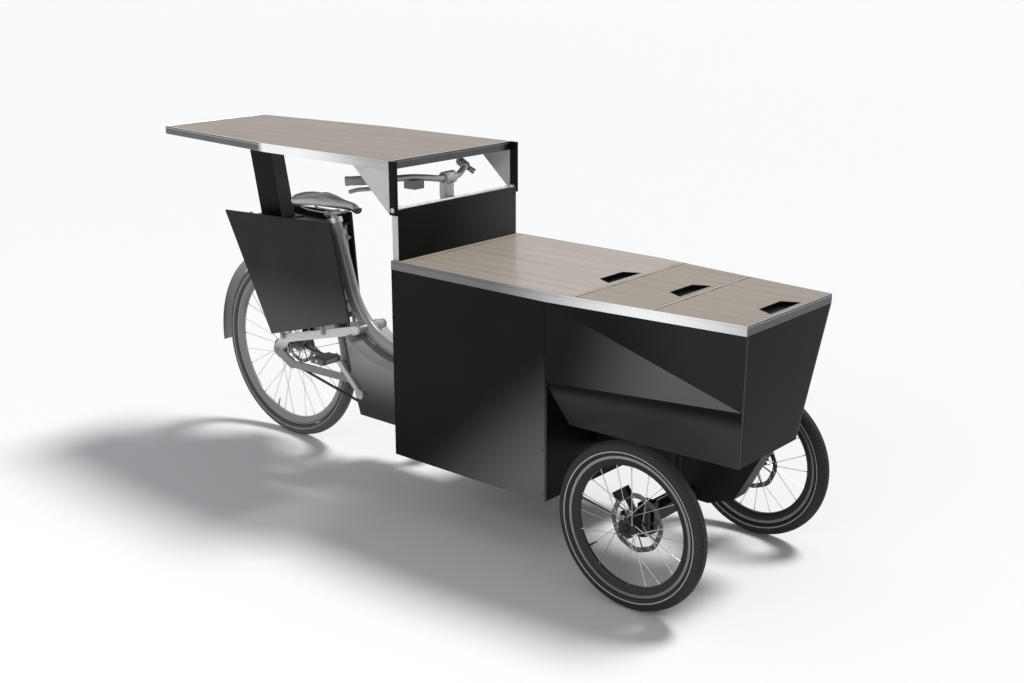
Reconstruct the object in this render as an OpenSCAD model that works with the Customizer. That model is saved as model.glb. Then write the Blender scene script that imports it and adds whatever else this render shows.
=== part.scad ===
// Cargo tricycle with a folding bar table over its counter.
// Origin on the ground, under the axis on which the table turns. +X is forward.

/* [Counter and table] */
// Height of the counter's top above the ground
counter_z = 869; // [850:1:890]
// Height of the table's top when it stands up as a bar
table_z = 1188; // [1170:1:1220]
// Full width of counter, table and box
body_w = 595; // [575:5:610]
// Width of counter and table at their narrow end
narrow_w = 470; // [440:5:490]
// Length of the counter from its rear edge
counter_l = 1276; // [1250:2:1310]
// From the counter's rear edge to where its sides turn in
kink_l = 637; // [620:1:650]
// Height of the aluminium edge band
band_h = 29; // [26:1:34]
// Wall of the aluminium edge band
band_t = 3; // [2:0.5:4]
// Depth of the arms that carry the table
arm_d = 30; // [26:1:34]
// Thickness of the arms that carry the table
arm_t = 10; // [8:0.5:12]
// Gap between counter and table when the table is folded down
fold_gap = 9; // [7:0.5:14]
// Length of the grey gusset plates along the table
gusset_l = 163; // [130:1:180]
// Thickness of the gusset plates
gusset_t = 4; // [2:0.5:5]
// Radius of the shaft on which the table turns
shaft_r = 6; // [5:0.5:8]
// Thickness of the table's wooden top
table_top_t = 18; // [14:1:20]

/* [Lids] */
// Width of the fixed strip behind the rear lid
strip_w = 50; // [44:1:60]
// Front edge of the rear lid, from the counter's rear edge
lid_1_end = 720; // [700:1:730]
// Front edge of the middle lid, from the counter's rear edge
lid_2_end = 974; // [950:1:985]
// Width of the bars between the lids
divider_w = 12; // [10:0.5:14]
// Gap round a lid
lid_gap = 1.5; // [1:0.1:2]
// Depth of a finger pull along the lid
pull_d = 54; // [44:1:60]
// Width of a finger pull at its rear
pull_w_rear = 120; // [100:1:130]
// Width of a finger pull at its front
pull_w_front = 170; // [150:1:180]
// Distance from a finger pull to the lid's front edge
pull_inset = 12; // [10:1:20]
// Depth of the pocket that holds a finger pull
pull_pocket = 16; // [12:0.5:18]
// Radius of a lid hinge's knuckles
knuckle_r = 2; // [1.8:0.1:2.2]

/* [Box and nose] */
// Height of the box's underside
box_z = 209; // [205:1:240]
// Thickness of the black panels
panel_t = 12; // [9:0.5:14]
// Height of the nose's underside
nose_z = 427; // [410:1:440]
// How far the nose's front leans back over its height
nose_rake = 48; // [40:1:60]
// Height of the side crease where it starts on the box
crease_rear_z = 596; // [580:1:610]
// Height of the side crease at the nose's front
crease_front_z = 608; // [590:1:620]
// Width of the nose's underside at the box
nose_w_rear = 352; // [330:2:370]
// Width of the nose's underside at the front
nose_w_front = 324; // [300:2:330]
// Wall of the cold wells and their rims
well_t = 3; // [2:0.5:4]
// Depth of the rear well
well_rear_depth = 300; // [200:5:330]
// Depth of the two front wells
well_front_depth = 228; // [150:2:230]

/* [Rear of the table] */
// Distance of the mast's head behind the table's hinge axis
mast_x = 981; // [960:1:1000]
// Depth of the mast, measured level
mast_d = 117; // [100:1:125]
// Width of the mast
mast_w = 65; // [55:1:75]
// Lean of the mast from upright
mast_lean = 11.9; // [10:0.1:13]
// Height of the rear deck's top
deck_z = 856; // [850:1:862]
// Thickness of the rear deck
deck_t = 10; // [8:0.5:12]
// Width between the two side panels of the rear carrier
carrier_w = 200; // [194:2:206]
// Thickness of the carrier's side panels
carrier_t = 10; // [6:0.5:12]

/* [Bicycle frame] */
// Radius of the main frame tube
tube_r = 25; // [22:0.5:26]
// Angle of the seat tube from level
seat_angle = 71.6; // [70:0.1:73]
// Fall of the lower frame tube towards the box
fall_angle = 8.6; // [6:0.1:10]
// Radius of the bend between the two
bend_r = 300; // [280:5:310]
// Distance of the crank axis behind the hinge axis
crank_x = 380; // [370:1:390]
// Height of the crank axis
crank_z = 290; // [280:1:300]
// Length of the crank arms
crank_l = 173; // [165:1:175]
// Angle of the right crank arm above the forward direction
crank_angle = 136.2; // [0:0.1:360]
// Radius of the front pulley
pulley_r = 70; // [60:1:74]
// Radius of the rear pulley
sprocket_r = 35; // [30:1:38]
// Seat post radius
post_r = 13.6; // [12.5:0.1:15]
// Half the distance between the rear fork's plates
stay_y = 62; // [60:0.5:64]
// Thickness of the rear fork's plates
stay_t = 10; // [8:0.5:12]
// Half width of the frame's side covers
cover_y = 100; // [92:1:100]

/* [Steering] */
// Distance of the steering column behind the hinge axis
column_x = 45; // [44:1:50]
// Radius of the steering column
column_r = 14; // [12:0.5:15]
// Depth of the handlebar's middle under the table's top
bar_drop = 90; // [86:1:98]
// Depth of the steering tube's upper end under the handlebar
collar_drop = 68; // [64:1:72]
// Height of the stem's clamp on the column
stem_h = 50; // [46:1:54]
// Height of the steering tube's lower end
tube_foot_z = 700; // [690:1:710]
// Radius of the handlebar
bar_r = 11; // [10:0.5:12]
// Radius of the grips
grip_r = 16; // [14:0.5:17]
// How far the wheels turn for each degree of the handlebar
steer_ratio = 1.6; // [1.4:0.1:1.6]
// Height of the long steering link
link_z = 190; // [186:1:192]

/* [Wheels] */
// Radius of the rear wheel
rear_r = 354; // [345:1:356]
// Distance of the rear axle behind the hinge axis
rear_axle_x = 877; // [873:1:880]
// Half width of the rear tyre
rear_tyre_r = 22; // [20:0.5:24]
// Radius of the front wheels
front_r = 253; // [245:1:256]
// Distance of the front axle ahead of the hinge axis
front_axle_x = 981; // [975:1:990]
// Distance from the body's side to the middle of a front tyre
wheel_out = 49.5; // [44.5:0.5:54.5]
// Half width of the front tyres
front_tyre_r = 23; // [20:0.5:25]
// Height of the tyres from rim to tread
tyre_h = 41; // [38:0.5:43]
// Height of the rims
rim_h = 31; // [26:0.5:34]
// Inset of a kingpin from its wheel's middle
kingpin_in = 62; // [60:0.5:64]
// Spokes in a front wheel
front_spoke_n = 20; // [12:4:28]
// Spokes in the rear wheel
rear_spoke_n = 28; // [16:4:36]

/* [Hidden] */
$fn = 48;

run = 0.05;
seat = 0.3;
half_w = body_w / 2;
track = body_w + 2 * wheel_out;
rear_x = -arm_d / 2;
front_x = rear_x + counter_l;
kink_x = rear_x + kink_l;
band_z = counter_z - band_h;
table_x = -front_x;
table_under_z = table_z - band_h;
bar_z = table_z - bar_drop;
collar_z = bar_z - collar_drop;
pivot_z = (table_z + counter_z + fold_gap) / 2;
arm_y = half_w - arm_t;
arm_low = 17;

// Half width of the counter at x, and the outline of a slab of it inset by d
function plan_w(x) = x <= kink_x ? half_w
    : half_w - (x - kink_x) * (half_w - narrow_w / 2) / (front_x - kink_x);
function edge_row(x0, x1, d) = concat([[x0, plan_w(x0) - d]],
    x0 < kink_x && x1 > kink_x ? [[kink_x, half_w - d]] : [],
    [[x1, plan_w(x1) - d]]);
function flip_y(row) = [for (i = [len(row) - 1 : -1 : 0]) [row[i].x, -row[i].y]];
function outline(x0, x1, d) = concat(edge_row(x0, x1, d), flip_y(edge_row(x0, x1, d)));
module slab(x0, x1, d, z, h) {
    translate([0, 0, z]) linear_extrude(h) polygon(outline(x0, x1, d));
}

// A block between two opposite corners, and a copy on each side
module block(a, b) {
    translate(a) cube(b - a);
}
module both() {
    children();
    mirror([0, 1, 0]) children();
}
// A round bar between two points, a flat bar with round ends, and a plate in the XZ plane
module rod(a, b, r) {
    v = b - a;
    translate(a) rotate([0, acos(v.z / norm(v)), atan2(v.y, v.x)]) cylinder(h = norm(v), r = r);
}
module elbow(p, v, r) translate(p) rotate([0, acos(v.z / norm(v)), atan2(v.y, v.x)]) sphere(r = r);
module bar2d(a, b, w) {
    v = b - a;
    translate(a) circle(r = w / 2);
    translate(b) circle(r = w / 2);
    translate(a) rotate(atan2(v.y, v.x)) translate([0, 0.01 - w / 2]) square([norm(v), w - 0.02]);
}
module plate_xz(y0, y1) {
    translate([0, y1, 0]) rotate([90, 0, 0]) linear_extrude(y1 - y0) children();
}
module pin_y(x, z, y0, y1, r) {
    translate([x, y0, z]) rotate([-90, 0, 0]) cylinder(h = y1 - y0, r = r);
}

// Counter
module counter_band() color("silver") difference() {
    slab(rear_x, front_x, 0, band_z, band_h);
    slab(rear_x + band_t, front_x - band_t, band_t, band_z - 1, band_h + 2);
}

rim_z = band_z + well_t;
lid_z = rim_z + seat;
lid_side = band_t + 1.2;
hinge_gap = knuckle_r + seat;
function lid_start(i) = rear_x + [strip_w, lid_1_end + lid_gap + divider_w,
    lid_2_end + lid_gap + divider_w][i] + 2 * hinge_gap;
function lid_end(i) = i == 2 ? front_x - band_t - lid_gap : rear_x + [lid_1_end, lid_2_end][i];
function hinge_x(i) = lid_start(i) - hinge_gap;

module counter_strips() color("tan") {
    slab(rear_x + band_t, hinge_x(0) - hinge_gap, band_t, rim_z, counter_z - rim_z);
    for (i = [1, 2])
        slab(hinge_x(i) - hinge_gap - divider_w, hinge_x(i) - hinge_gap, band_t,
            rim_z, counter_z - rim_z);
}

// Finger pull outline, narrower at the rear
module pull_outline(i, d) {
    x1 = lid_end(i) - pull_inset - d;
    x0 = lid_end(i) - pull_inset - pull_d + d;
    polygon([[x0, pull_w_rear / 2 - d], [x1, pull_w_front / 2 - d],
        [x1, d - pull_w_front / 2], [x0, d - pull_w_rear / 2]]);
}
// A lid's rear end is straight where the band tapers, so that it swings down clear of it
module lid(i) color("tan") difference() {
    swing_x = lid_start(i) + counter_z - lid_z;
    slab(lid_start(i), lid_end(i), lid_side, lid_z, counter_z - lid_z);
    if (swing_x > kink_x) both()
        block([lid_start(i) - 1, plan_w(swing_x) - lid_side, lid_z - 1],
            [swing_x, half_w, counter_z + 1]);
    translate([0, 0, counter_z - pull_pocket]) linear_extrude(pull_pocket + 1) pull_outline(i, 0);
}

// Lid hinges: leaves with alternating knuckles on a thin pin
leaf_l = 360;
leaf_h = 18;
leaf_t = 1;
knuckles = 5;
knuckle_l = leaf_l / knuckles;
hinge_z = counter_z - knuckle_r + 0.4;
pin_r = knuckle_r / 2;
module leaf(i, side) difference() {
    union() {
        translate([hinge_x(i) + (side > 0 ? hinge_gap - leaf_t : -hinge_gap), -leaf_l / 2,
            hinge_z - leaf_h]) cube([leaf_t, leaf_l, leaf_h - knuckle_r - seat]);
        for (k = [side > 0 ? 1 : 0 : 2 : knuckles - 1]) {
            y = -leaf_l / 2 + k * knuckle_l + seat;
            pin_y(hinge_x(i), hinge_z, y, y + knuckle_l - 2 * seat, knuckle_r);
            translate([hinge_x(i) + (side > 0 ? hinge_gap - leaf_t : -hinge_gap), y,
                hinge_z - leaf_h]) cube([leaf_t, knuckle_l - 2 * seat, leaf_h]);
        }
    }
    pin_y(hinge_x(i), hinge_z, -leaf_l, leaf_l, pin_r + run);
}
module lid_hinges() color("dimgray") for (i = [0 : 2]) {
    leaf(i, -1);
    pin_y(hinge_x(i), hinge_z, -leaf_l / 2, leaf_l / 2, pin_r);
}
module lid_fittings(i) color("black") {
    leaf(i, 1);
    difference() {
        translate([0, 0, counter_z - pull_pocket]) linear_extrude(pull_pocket) pull_outline(i, 0);
        translate([0, 0, counter_z - pull_pocket + 2.5])
            linear_extrude(pull_pocket) pull_outline(i, 2.5);
    }
}

// Box
module side_panels() color("black") both()
    block([rear_x, half_w - panel_t, box_z], [kink_x, half_w, band_z]);
module cross_panels() color("black") for (x = [rear_x, kink_x - panel_t])
    block([x, panel_t - half_w, box_z], [x + panel_t, half_w - panel_t, band_z]);
module floor_panels() color("dimgray") {
    block([rear_x + panel_t, panel_t - half_w, box_z],
        [kink_x - panel_t, half_w - panel_t, box_z + panel_t]);
    x1 = front_x - nose_rake - panel_t;
    y0 = nose_w_rear / 2 - panel_t;
    y1 = nose_w_front / 2 - panel_t;
    translate([0, 0, nose_z]) linear_extrude(panel_t)
        polygon([[kink_x, y0], [x1, y1], [x1, -y1], [kink_x, -y0]]);
}

// Nose: corners of the left side, in order round its edge, and the creased skin between them
nose_t1 = [kink_x, half_w, band_z];
nose_t2 = [front_x, narrow_w / 2, band_z];
nose_b1 = [kink_x, nose_w_rear / 2, nose_z];
nose_b2 = [front_x - nose_rake, nose_w_front / 2, nose_z];
nose_m1 = [kink_x, half_w, crease_rear_z];
nose_m2 = nose_t2 + (nose_b2 - nose_t2) * (band_z - crease_front_z) / (band_z - nose_z);
module nose_side() {
    rim = [nose_t2, nose_t1, nose_m1, nose_b1, nose_b2, nose_m2];
    skin = [[0, 1, 5], [1, 2, 5], [5, 2, 3], [5, 3, 4]];
    n = len(rim);
    polyhedron(concat(rim, [for (p = rim) p - [0, panel_t, 0]]),
        concat(skin, [for (f = skin) [f[2] + n, f[1] + n, f[0] + n]],
            [for (i = [0 : n - 1]) [(i + 1) % n, i, i + n, (i + 1) % n + n]]));
}
module nose_sides() color("black") both() nose_side();
module nose_front() color("black") {
    top = nose_t2 - [0, panel_t, 0];
    low = nose_b2 - [0, panel_t, 0];
    face = [top, low, [low.x, -low.y, low.z], [top.x, -top.y, top.z]];
    polyhedron(concat(face, [for (p = face) p - [panel_t, 0, 0]]),
        [[3, 2, 1, 0], [4, 5, 6, 7], [0, 1, 5, 4], [1, 2, 6, 5], [2, 3, 7, 6], [3, 0, 4, 7]]);
}

// Cold wells hang by their rims from the panels' top edges
well_gap = 6;
module well(x0, x1, y, depth, i) difference() {
    union() {
        slab(i == 0 ? rear_x + band_t : hinge_x(i) - hinge_gap - divider_w / 2,
            i == 2 ? front_x - band_t : hinge_x(i + 1) - hinge_gap - divider_w / 2 - 0.5,
            band_t, band_z, well_t);
        block([x0, -y, band_z - depth], [x1, y, band_z + well_t]);
    }
    block([x0 + well_t, well_t - y, band_z - depth + well_t],
        [x1 - well_t, y - well_t, counter_z + 1]);
}
module cold_wells() color("gainsboro") {
    well(lid_start(0) + well_gap, kink_x - panel_t - well_gap,
        half_w - panel_t - 20, well_rear_depth, 0);
    well(lid_start(1) + well_gap, lid_end(1) - 2 * well_gap, 195, well_front_depth, 1);
    well(lid_start(2) + well_gap, front_x - nose_rake - well_gap, 165, well_front_depth, 2);
}

// Posts, back panel and the table that turns on its shaft
post_x = arm_d - 4;
post_w = 25;
module posts() color("gainsboro") both() difference() {
    union() {
        block([rear_x, arm_y - seat - post_w, counter_z], [rear_x + post_x, arm_y - seat, pivot_z]);
        pin_y(0, pivot_z, arm_y - seat - post_w, arm_y - seat, shaft_r + 4);
    }
    pin_y(0, pivot_z, 0, half_w, shaft_r + run);
}
back_t = 3;
module back_panel() color("black") block([rear_x + post_x, seat - arm_y, counter_z],
    [rear_x + post_x + back_t, arm_y - seat, pivot_z + 1]);

module table_slab(d, z, h) mirror([1, 0, 0]) slab(-rear_x + d, front_x - d, d, z, h);
module table_top() color("tan") table_slab(band_t, table_z - table_top_t, table_top_t);
module table_band() color("silver") difference() {
    table_slab(0, table_under_z, band_h);
    table_slab(band_t, table_under_z - 1, band_h + 2);
}
module table_underside() color("dimgray")
    table_slab(band_t, table_under_z, band_h - table_top_t);
module table_arms() color("black") both() difference() {
    block([rear_x, arm_y, pivot_z - arm_low], [-rear_x, half_w, table_z]);
    pin_y(0, pivot_z, 0, half_w + 1, shaft_r + run);
}
module gussets() color("darkgray") both() plate_xz(half_w - gusset_t, half_w)
    polygon([[rear_x, pivot_z - arm_low], [rear_x, table_under_z],
        [rear_x - gusset_l, table_under_z]]);
module hinge_shaft() color("silver") pin_y(0, pivot_z, -half_w, half_w, shaft_r);

// Mast under the table's rear, on its foot plate
foot_t = 5;
function mast_at(z) = -mast_x + (table_under_z - z) * tan(mast_lean);
module mast() color("black") {
    z0 = deck_z + foot_t;
    z1 = table_under_z - seat;
    plate_xz(-mast_w / 2, mast_w / 2) polygon([
        [mast_at(z0) - mast_d / 2, z0], [mast_at(z1) - mast_d / 2, z1],
        [mast_at(z1) + mast_d / 2, z1], [mast_at(z0) + mast_d / 2, z0]]);
    block([mast_at(z0) - mast_d * 0.7, -carrier_w * 0.3, deck_z],
        [mast_at(z0) + mast_d * 0.7, carrier_w * 0.3, z0]);
}

// Frame line: seat tube, bend and lower tube to the head tube, as points in the XZ plane
seat_point = [-555, 720];
seat_top_z = 888;
head_point = [-column_x, 404];
way_1 = [cos(seat_angle), -sin(seat_angle)];
way_2 = [cos(fall_angle), -sin(fall_angle)];
function turn(a, b) = a.x * b.y - a.y * b.x;
corner = seat_point + way_1 * turn(head_point - seat_point, way_2) / turn(way_1, way_2);
bend_run = bend_r * tan((seat_angle - fall_angle) / 2);
bend_start = corner - way_1 * bend_run;
bend_end = corner + way_2 * bend_run;
bend_c = bend_start + bend_r * [sin(seat_angle), cos(seat_angle)];
function seat_at(z) = [seat_point.x - (z - seat_point.y) / tan(seat_angle), z];
function bend_at(a) = bend_c + bend_r * [cos(a), sin(a)];
function xz(p, y = 0) = [p.x, y, p.y];
seat_top = seat_at(seat_top_z);
crank = [-crank_x, crank_z];
axle = [-rear_axle_x, rear_r];
yoke = crank + [-110, 28];
lug = bend_at(229.8);
yoke_r = 18;
lug_r = 16;
guard_r = rear_r + 26;
guard_t = 3;
shell_r = 23;
spindle_r = 12;
head_z0 = 345;
head_z1 = 485;

// Carrier behind the saddle: side panels, deck and struts
panel_low = [[-428, 549], [-860, 427]];
panel_high = [[-1098, 873], [-511, 896]];
deck_front = seat_at(deck_z).x - tube_r - 4;
deck_rear = panel_high[0].x + 90;
strut_r = 8;
strut_y = stay_y + stay_t + strut_r;
function at_x(edge, x) = [x, edge[0].y + (x - edge[0].x) * (edge[1].y - edge[0].y)
    / (edge[1].x - edge[0].x)];
// The right panel reaches forward past the saddle's post, the left one ends with the deck
module carrier() color("#3a3a3a") {
    plate_xz(-carrier_w / 2 - carrier_t, -carrier_w / 2) polygon(concat(panel_low, panel_high));
    plate_xz(carrier_w / 2, carrier_w / 2 + carrier_t)
        polygon([at_x(panel_low, deck_front + 37), panel_low[1],
            panel_high[0], at_x(panel_high, deck_front + 1)]);
    block([deck_rear, seat - carrier_w / 2, deck_z - deck_t],
        [deck_front, carrier_w / 2 - seat, deck_z]);
}
stay_bend = axle + [48, 54];
strut_feet = [stay_bend, stay_bend + (lug - stay_bend) * 0.58];
strut_heads = [[deck_rear + 50, deck_z], [deck_front - 12, deck_z]];
module rear_rack() color("dimgray") {
    difference() {
        both() for (i = [0, 1]) {
            a = strut_feet[i];
            b = strut_heads[i];
            rod(xz(a, strut_y + seat), xz(b, strut_y + seat), strut_r);
            for (t = [0.35, 0.85]) {
                p = a + (b - a) * t;
                pin_y(p.x, p.y, strut_y, carrier_w / 2, strut_r + 1);
            }
        }
        block([deck_rear - 100, -carrier_w, deck_z - deck_t], [0, carrier_w, deck_z + 50]);
    }
    difference() {
        union() {
            rod(xz(seat_at(deck_z - 32)), xz(seat_at(deck_z - deck_t - 3)), tube_r + 6);
            block([deck_front - 60, -15, deck_z - deck_t - 14],
                [seat_at(deck_z).x, 15, deck_z - deck_t]);
        }
        rod(xz(seat_at(deck_z - 100)), xz(seat_at(deck_z + 50)), tube_r + run);
    }
}

// Main frame of round tubes, one bend, with its lugs, shells and head tube
module main_frame() color("lightgray") difference() {
    union() {
        rod(xz(bend_start), xz(seat_top), tube_r);
        translate(xz(bend_c)) rotate([90, 0, 0]) rotate([0, 0, 270 - seat_angle])
            rotate_extrude(angle = seat_angle - fall_angle, $fn = 96)
            translate([bend_r, 0]) circle(r = tube_r + 0.2);
        rod(xz(bend_end), xz(head_point), tube_r);
        rod(xz(bend_at(234)), xz(crank), 20);
        rod(xz(crank), xz(yoke), 15);
        pin_y(crank.x, crank.y, -36, 36, shell_r);
        pin_y(yoke.x, yoke.y, -stay_y, stay_y, yoke_r);
        pin_y(lug.x, lug.y, -stay_y, stay_y, lug_r);
        rod(xz(axle + (guard_r + guard_t + 0.1) * [cos(35), sin(35)]),
            xz(axle + (guard_r + 66) * [cos(35), sin(35)]), 8);
        translate([-column_x, 0, head_z0]) cylinder(h = head_z1 - head_z0, r = column_r + 10);
        block([-column_x, -30, head_z0], [rear_x, 30, head_z1]);
        block([rear_x - 5, -60, head_z0 - 15], [rear_x, 60, head_z1 + 15]);
    }
    translate([-column_x, 0, 0]) cylinder(h = counter_z, r = column_r + run);
    rod(xz(seat_at(seat_top_z - 190)), xz(seat_at(seat_top_z + 30)), post_r + run);
    pin_y(crank.x, crank.y, -60, 60, spindle_r + run);
}

// Side covers under the bend: outline inset by d, and open to the rear when open is set
cover_t = 3;
cover_top = tube_r + 0.4;
module cover_outline(d, open = 0) difference() {
    polygon([[-468 - open, 540], [-419 - open, 293], [-393 - open, box_z + d],
        [rear_x - 0.4 - d, box_z + d], [rear_x - 0.4 - d, 420]]);
    translate(bend_c) circle(r = bend_r + cover_top + d, $fn = 96);
    translate(bend_end) rotate(-fall_angle) translate([-20, -cover_top - d]) square([500, 400]);
}
module rear_fork_outline(d = 0) {
    bar2d(axle, stay_bend, 42 + d);
    bar2d(stay_bend, lug, 32 + d);
    bar2d(axle, axle + [80, -42], 36 + d);
    bar2d(axle + [80, -42], yoke, 26 + d);
}
module frame_covers() color("gray") both() difference() {
    union() {
        plate_xz(cover_y - cover_t, cover_y) cover_outline(0);
        plate_xz(seat, cover_y - cover_t) difference() {
            cover_outline(0);
            cover_outline(cover_t, 200);
        }
    }
    block([-column_x - column_r - 16, -1, head_z0 - 20], [rear_x + 1, 62, head_z1]);
    translate([-column_x, 0, box_z - 5]) cylinder(h = 200, r = column_r + 3);
    pin_y(crank.x, crank.y, 0, cover_y + 1, spindle_r + 5);
    rod(xz(bend_at(234)), xz(crank), 21);
    plate_xz(stay_y - 0.5, stay_y + stay_t + 0.5) rear_fork_outline(1);
    pin_y(yoke.x, yoke.y, 0, stay_y, yoke_r + 1);
}

// Rear fork plates with the fixed axle between them and the brake caliper on the left one
axle_r = 5;
rear_rotor_y = 46;
module rear_fork() color("gray") {
    both() plate_xz(stay_y, stay_y + stay_t) difference() {
        rear_fork_outline();
        translate(axle) circle(r = axle_r + run);
    }
    pin_y(axle.x, axle.y, -stay_y - stay_t - 4, stay_y + stay_t + 4, axle_r);
    translate(xz(axle)) rotate([0, -50, 0]) {
        for (y = [rear_rotor_y - 11, rear_rotor_y + 5])
            plate_xz(y, y + 8) translate([52, -22]) square([30, 44]);
        plate_xz(rear_rotor_y - 11, stay_y - 0.1) translate([82, -22]) square([8, 44]);
    }
}
module mudguard() color("dimgray") translate(xz(axle)) rotate([90, 0, 0])
    rotate([0, 0, 30]) rotate_extrude(angle = 156, $fn = 120)
    translate([guard_r, -30]) square([guard_t, 60]);
module seat_clamp() color("silver") {
    difference() {
        rod(xz(seat_at(seat_top_z - 20)), xz(seat_at(seat_top_z - 2)), tube_r + 6);
        rod(xz(seat_at(seat_top_z - 60)), xz(seat_at(seat_top_z + 30)), tube_r + run);
    }
    p = xz(seat_at(seat_top_z - 11), tube_r + 10);
    rod(p - [0, 6, 0], p, 6);
    rod(p, p + [-46, 4, -6], 4);
}

// Steering: upper tube on the box, column with its arm, stem and bar
module steering_tube() color("silver") difference() {
    union() {
        translate([-column_x, 0, tube_foot_z]) cylinder(h = collar_z - tube_foot_z, r = column_r + 8);
        for (z = [tube_foot_z + 15, tube_foot_z + 100])
            block([-column_x, -12, z], [rear_x, 12, z + 25]);
        block([rear_x - 4, -40, tube_foot_z + 5], [rear_x, 40, tube_foot_z + 135]);
    }
    translate([-column_x, 0, tube_foot_z - 10]) cylinder(h = collar_z - tube_foot_z + 70, r = column_r + run);
}
front_pin = [-50, 50];
column_pin = front_pin * steer_ratio;
link_pin_r = 6;
link_eye = 12;
module steering_column() color("silver") {
    translate([-column_x, 0, link_z + link_eye / 2 + seat])
        cylinder(h = collar_z + stem_h - 20 - link_z - link_eye / 2 - seat, r = column_r);
    translate([-column_x, 0, link_z + link_eye / 2 + seat]) linear_extrude(8)
        bar2d([0, 0], column_pin, 2 * column_r);
    translate([column_pin.x - column_x, column_pin.y, link_z - link_eye / 2])
        cylinder(h = link_eye + 4, r = link_pin_r);
}
bar_mid = [-column_x + 7, 0, bar_z];
clamp_r = bar_r + 4.9;
module stem() color("silver") difference() {
    union() {
        translate([-column_x, 0, collar_z + seat]) cylinder(h = stem_h, r = column_r + 10);
        rod([-column_x, 0, collar_z + stem_h - 10], bar_mid, 17);
        pin_y(bar_mid.x, bar_mid.z, -24, 24, clamp_r + 5);
    }
    translate([-column_x, 0, collar_z - 30]) cylinder(h = stem_h + 10, r = column_r + run);
    pin_y(bar_mid.x, bar_mid.z, -50, 50, clamp_r + run);
}

// Handlebar centre line on the left; the last stretch holds the grip
bar_line = [bar_mid, bar_mid + [2, 45, 0], bar_mid + [-14, 78, 6], bar_mid + [-48, 128, 10],
    bar_mid + [-92, 186, 6], bar_mid + [-197, 275, 0]];
grip_way = (bar_line[5] - bar_line[4]) / norm(bar_line[5] - bar_line[4]);
grip_l = 110;
grip_start = bar_line[5] - grip_way * grip_l;
module bar_tube(r) for (i = [0 : len(bar_line) - 2]) {
    rod(bar_line[i], bar_line[i + 1], r);
    if (i > 0) elbow(bar_line[i], bar_line[i + 1] - bar_line[i - 1], r + 0.4);
}
module handlebar() color("silver") {
    both() bar_tube(bar_r);
    pin_y(bar_mid.x, bar_mid.z, -38, 38, clamp_r);
}
module grips() color("dimgray") both() difference() {
    rod(grip_start, bar_line[5] + grip_way * 4, grip_r);
    rod(grip_start - grip_way, bar_line[5], bar_r + run);
}

// Brake lever in a frame on the bar: x along the grip, y ahead of it, tilted down
lever_tilt = 35;
lever_pivot = [-14, 34, 0];
module on_grip() translate(grip_start) rotate([0, 0, atan2(grip_way.y, grip_way.x)])
    rotate([0, asin(-grip_way.z), 0]) mirror([0, 1, 0]) rotate([-lever_tilt, 0, 0]) children();
module lever_clamp() difference() {
    union() {
        translate([-24, 0, 0]) rotate([0, 90, 0]) cylinder(h = 16, r = bar_r + 5);
        block([-24, 8, -8], [-6, 24, 8]);
        translate(lever_pivot + [0, 0, 5.3]) cylinder(h = 4, r = 8);
        translate(lever_pivot + [0, 0, -9.3]) cylinder(h = 4, r = 8);
        block([-22, 20, 5.3], [-6, 34, 9.3]);
        block([-22, 20, -9.3], [-6, 34, -5.3]);
    }
    translate([-40, 0, 0]) rotate([0, 90, 0]) cylinder(h = 60, r = bar_r + run);
    translate(lever_pivot - [0, 0, 20]) cylinder(h = 40, r = 2.5 + run);
}
module bar_controls() color("dimgray") {
    both() on_grip() {
        lever_clamp();
        translate(lever_pivot - [0, 0, 10]) cylinder(h = 20, r = 2.5);
    }
    p = bar_mid - [40, 118, -8];
    difference() {
        block(p - [24, 26, 34], p + [24, 20, -6]);
        mirror([0, 1, 0]) bar_tube(bar_r + run);
    }
}
module brake_lever() on_grip() difference() {
    translate([0, 0, -5]) linear_extrude(10) {
        bar2d([lever_pivot.x, lever_pivot.y], [16, 40], 12);
        bar2d([16, 40], [70, 42], 10);
        bar2d([70, 42], [96, 50], 9);
    }
    translate(lever_pivot - [0, 0, 20]) cylinder(h = 40, r = 2.5 + run);
}
module brake_lever_left() color("gray") brake_lever();
module brake_lever_right() color("gray") mirror([0, 1, 0]) brake_lever();

// Front chassis: keel, axle beam and the kingpins
king_y = track / 2 - kingpin_in;
king_r = 8;
barrel_r = 20;
beam_z = front_r;
barrel_h = 63.4;
lug_h = 16;
module king_lug(z) {
    translate([front_axle_x, king_y, z]) cylinder(h = lug_h, r = 18);
    block([front_axle_x - 18, king_y - 45, z], [front_axle_x + 18, king_y, z + lug_h]);
}
module keel() color("#2a2a2a") {
    x = front_axle_x;
    plate_xz(-32, 32) polygon([[kink_x, nose_z], [front_x - nose_rake - 2, nose_z],
        [x + 145, nose_z - 155], [x + 57, beam_z - 16], [x - 38, beam_z - 16],
        [x - 53, beam_z + 22], [x - 283, nose_z - 127], [kink_x, nose_z - 97]]);
    block([x - 20, 24 - king_y, beam_z - 16], [x + 20, king_y - 24, beam_z + 22]);
    both() {
        king_lug(beam_z - barrel_h / 2 - seat - lug_h);
        king_lug(beam_z + barrel_h / 2 + seat);
        block([x - 20, king_y - 45, beam_z - barrel_h / 2 - lug_h - seat],
            [x + 20, king_y - 24, beam_z + barrel_h / 2 + lug_h + seat]);
        translate([x, king_y, beam_z - barrel_h / 2 - lug_h - 5])
            cylinder(h = barrel_h + 2 * lug_h + 10, r = king_r);
        for (y = [105, 145])
            translate([x, y, beam_z]) cylinder(h = nose_z - beam_z, r = 8);
    }
}

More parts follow.
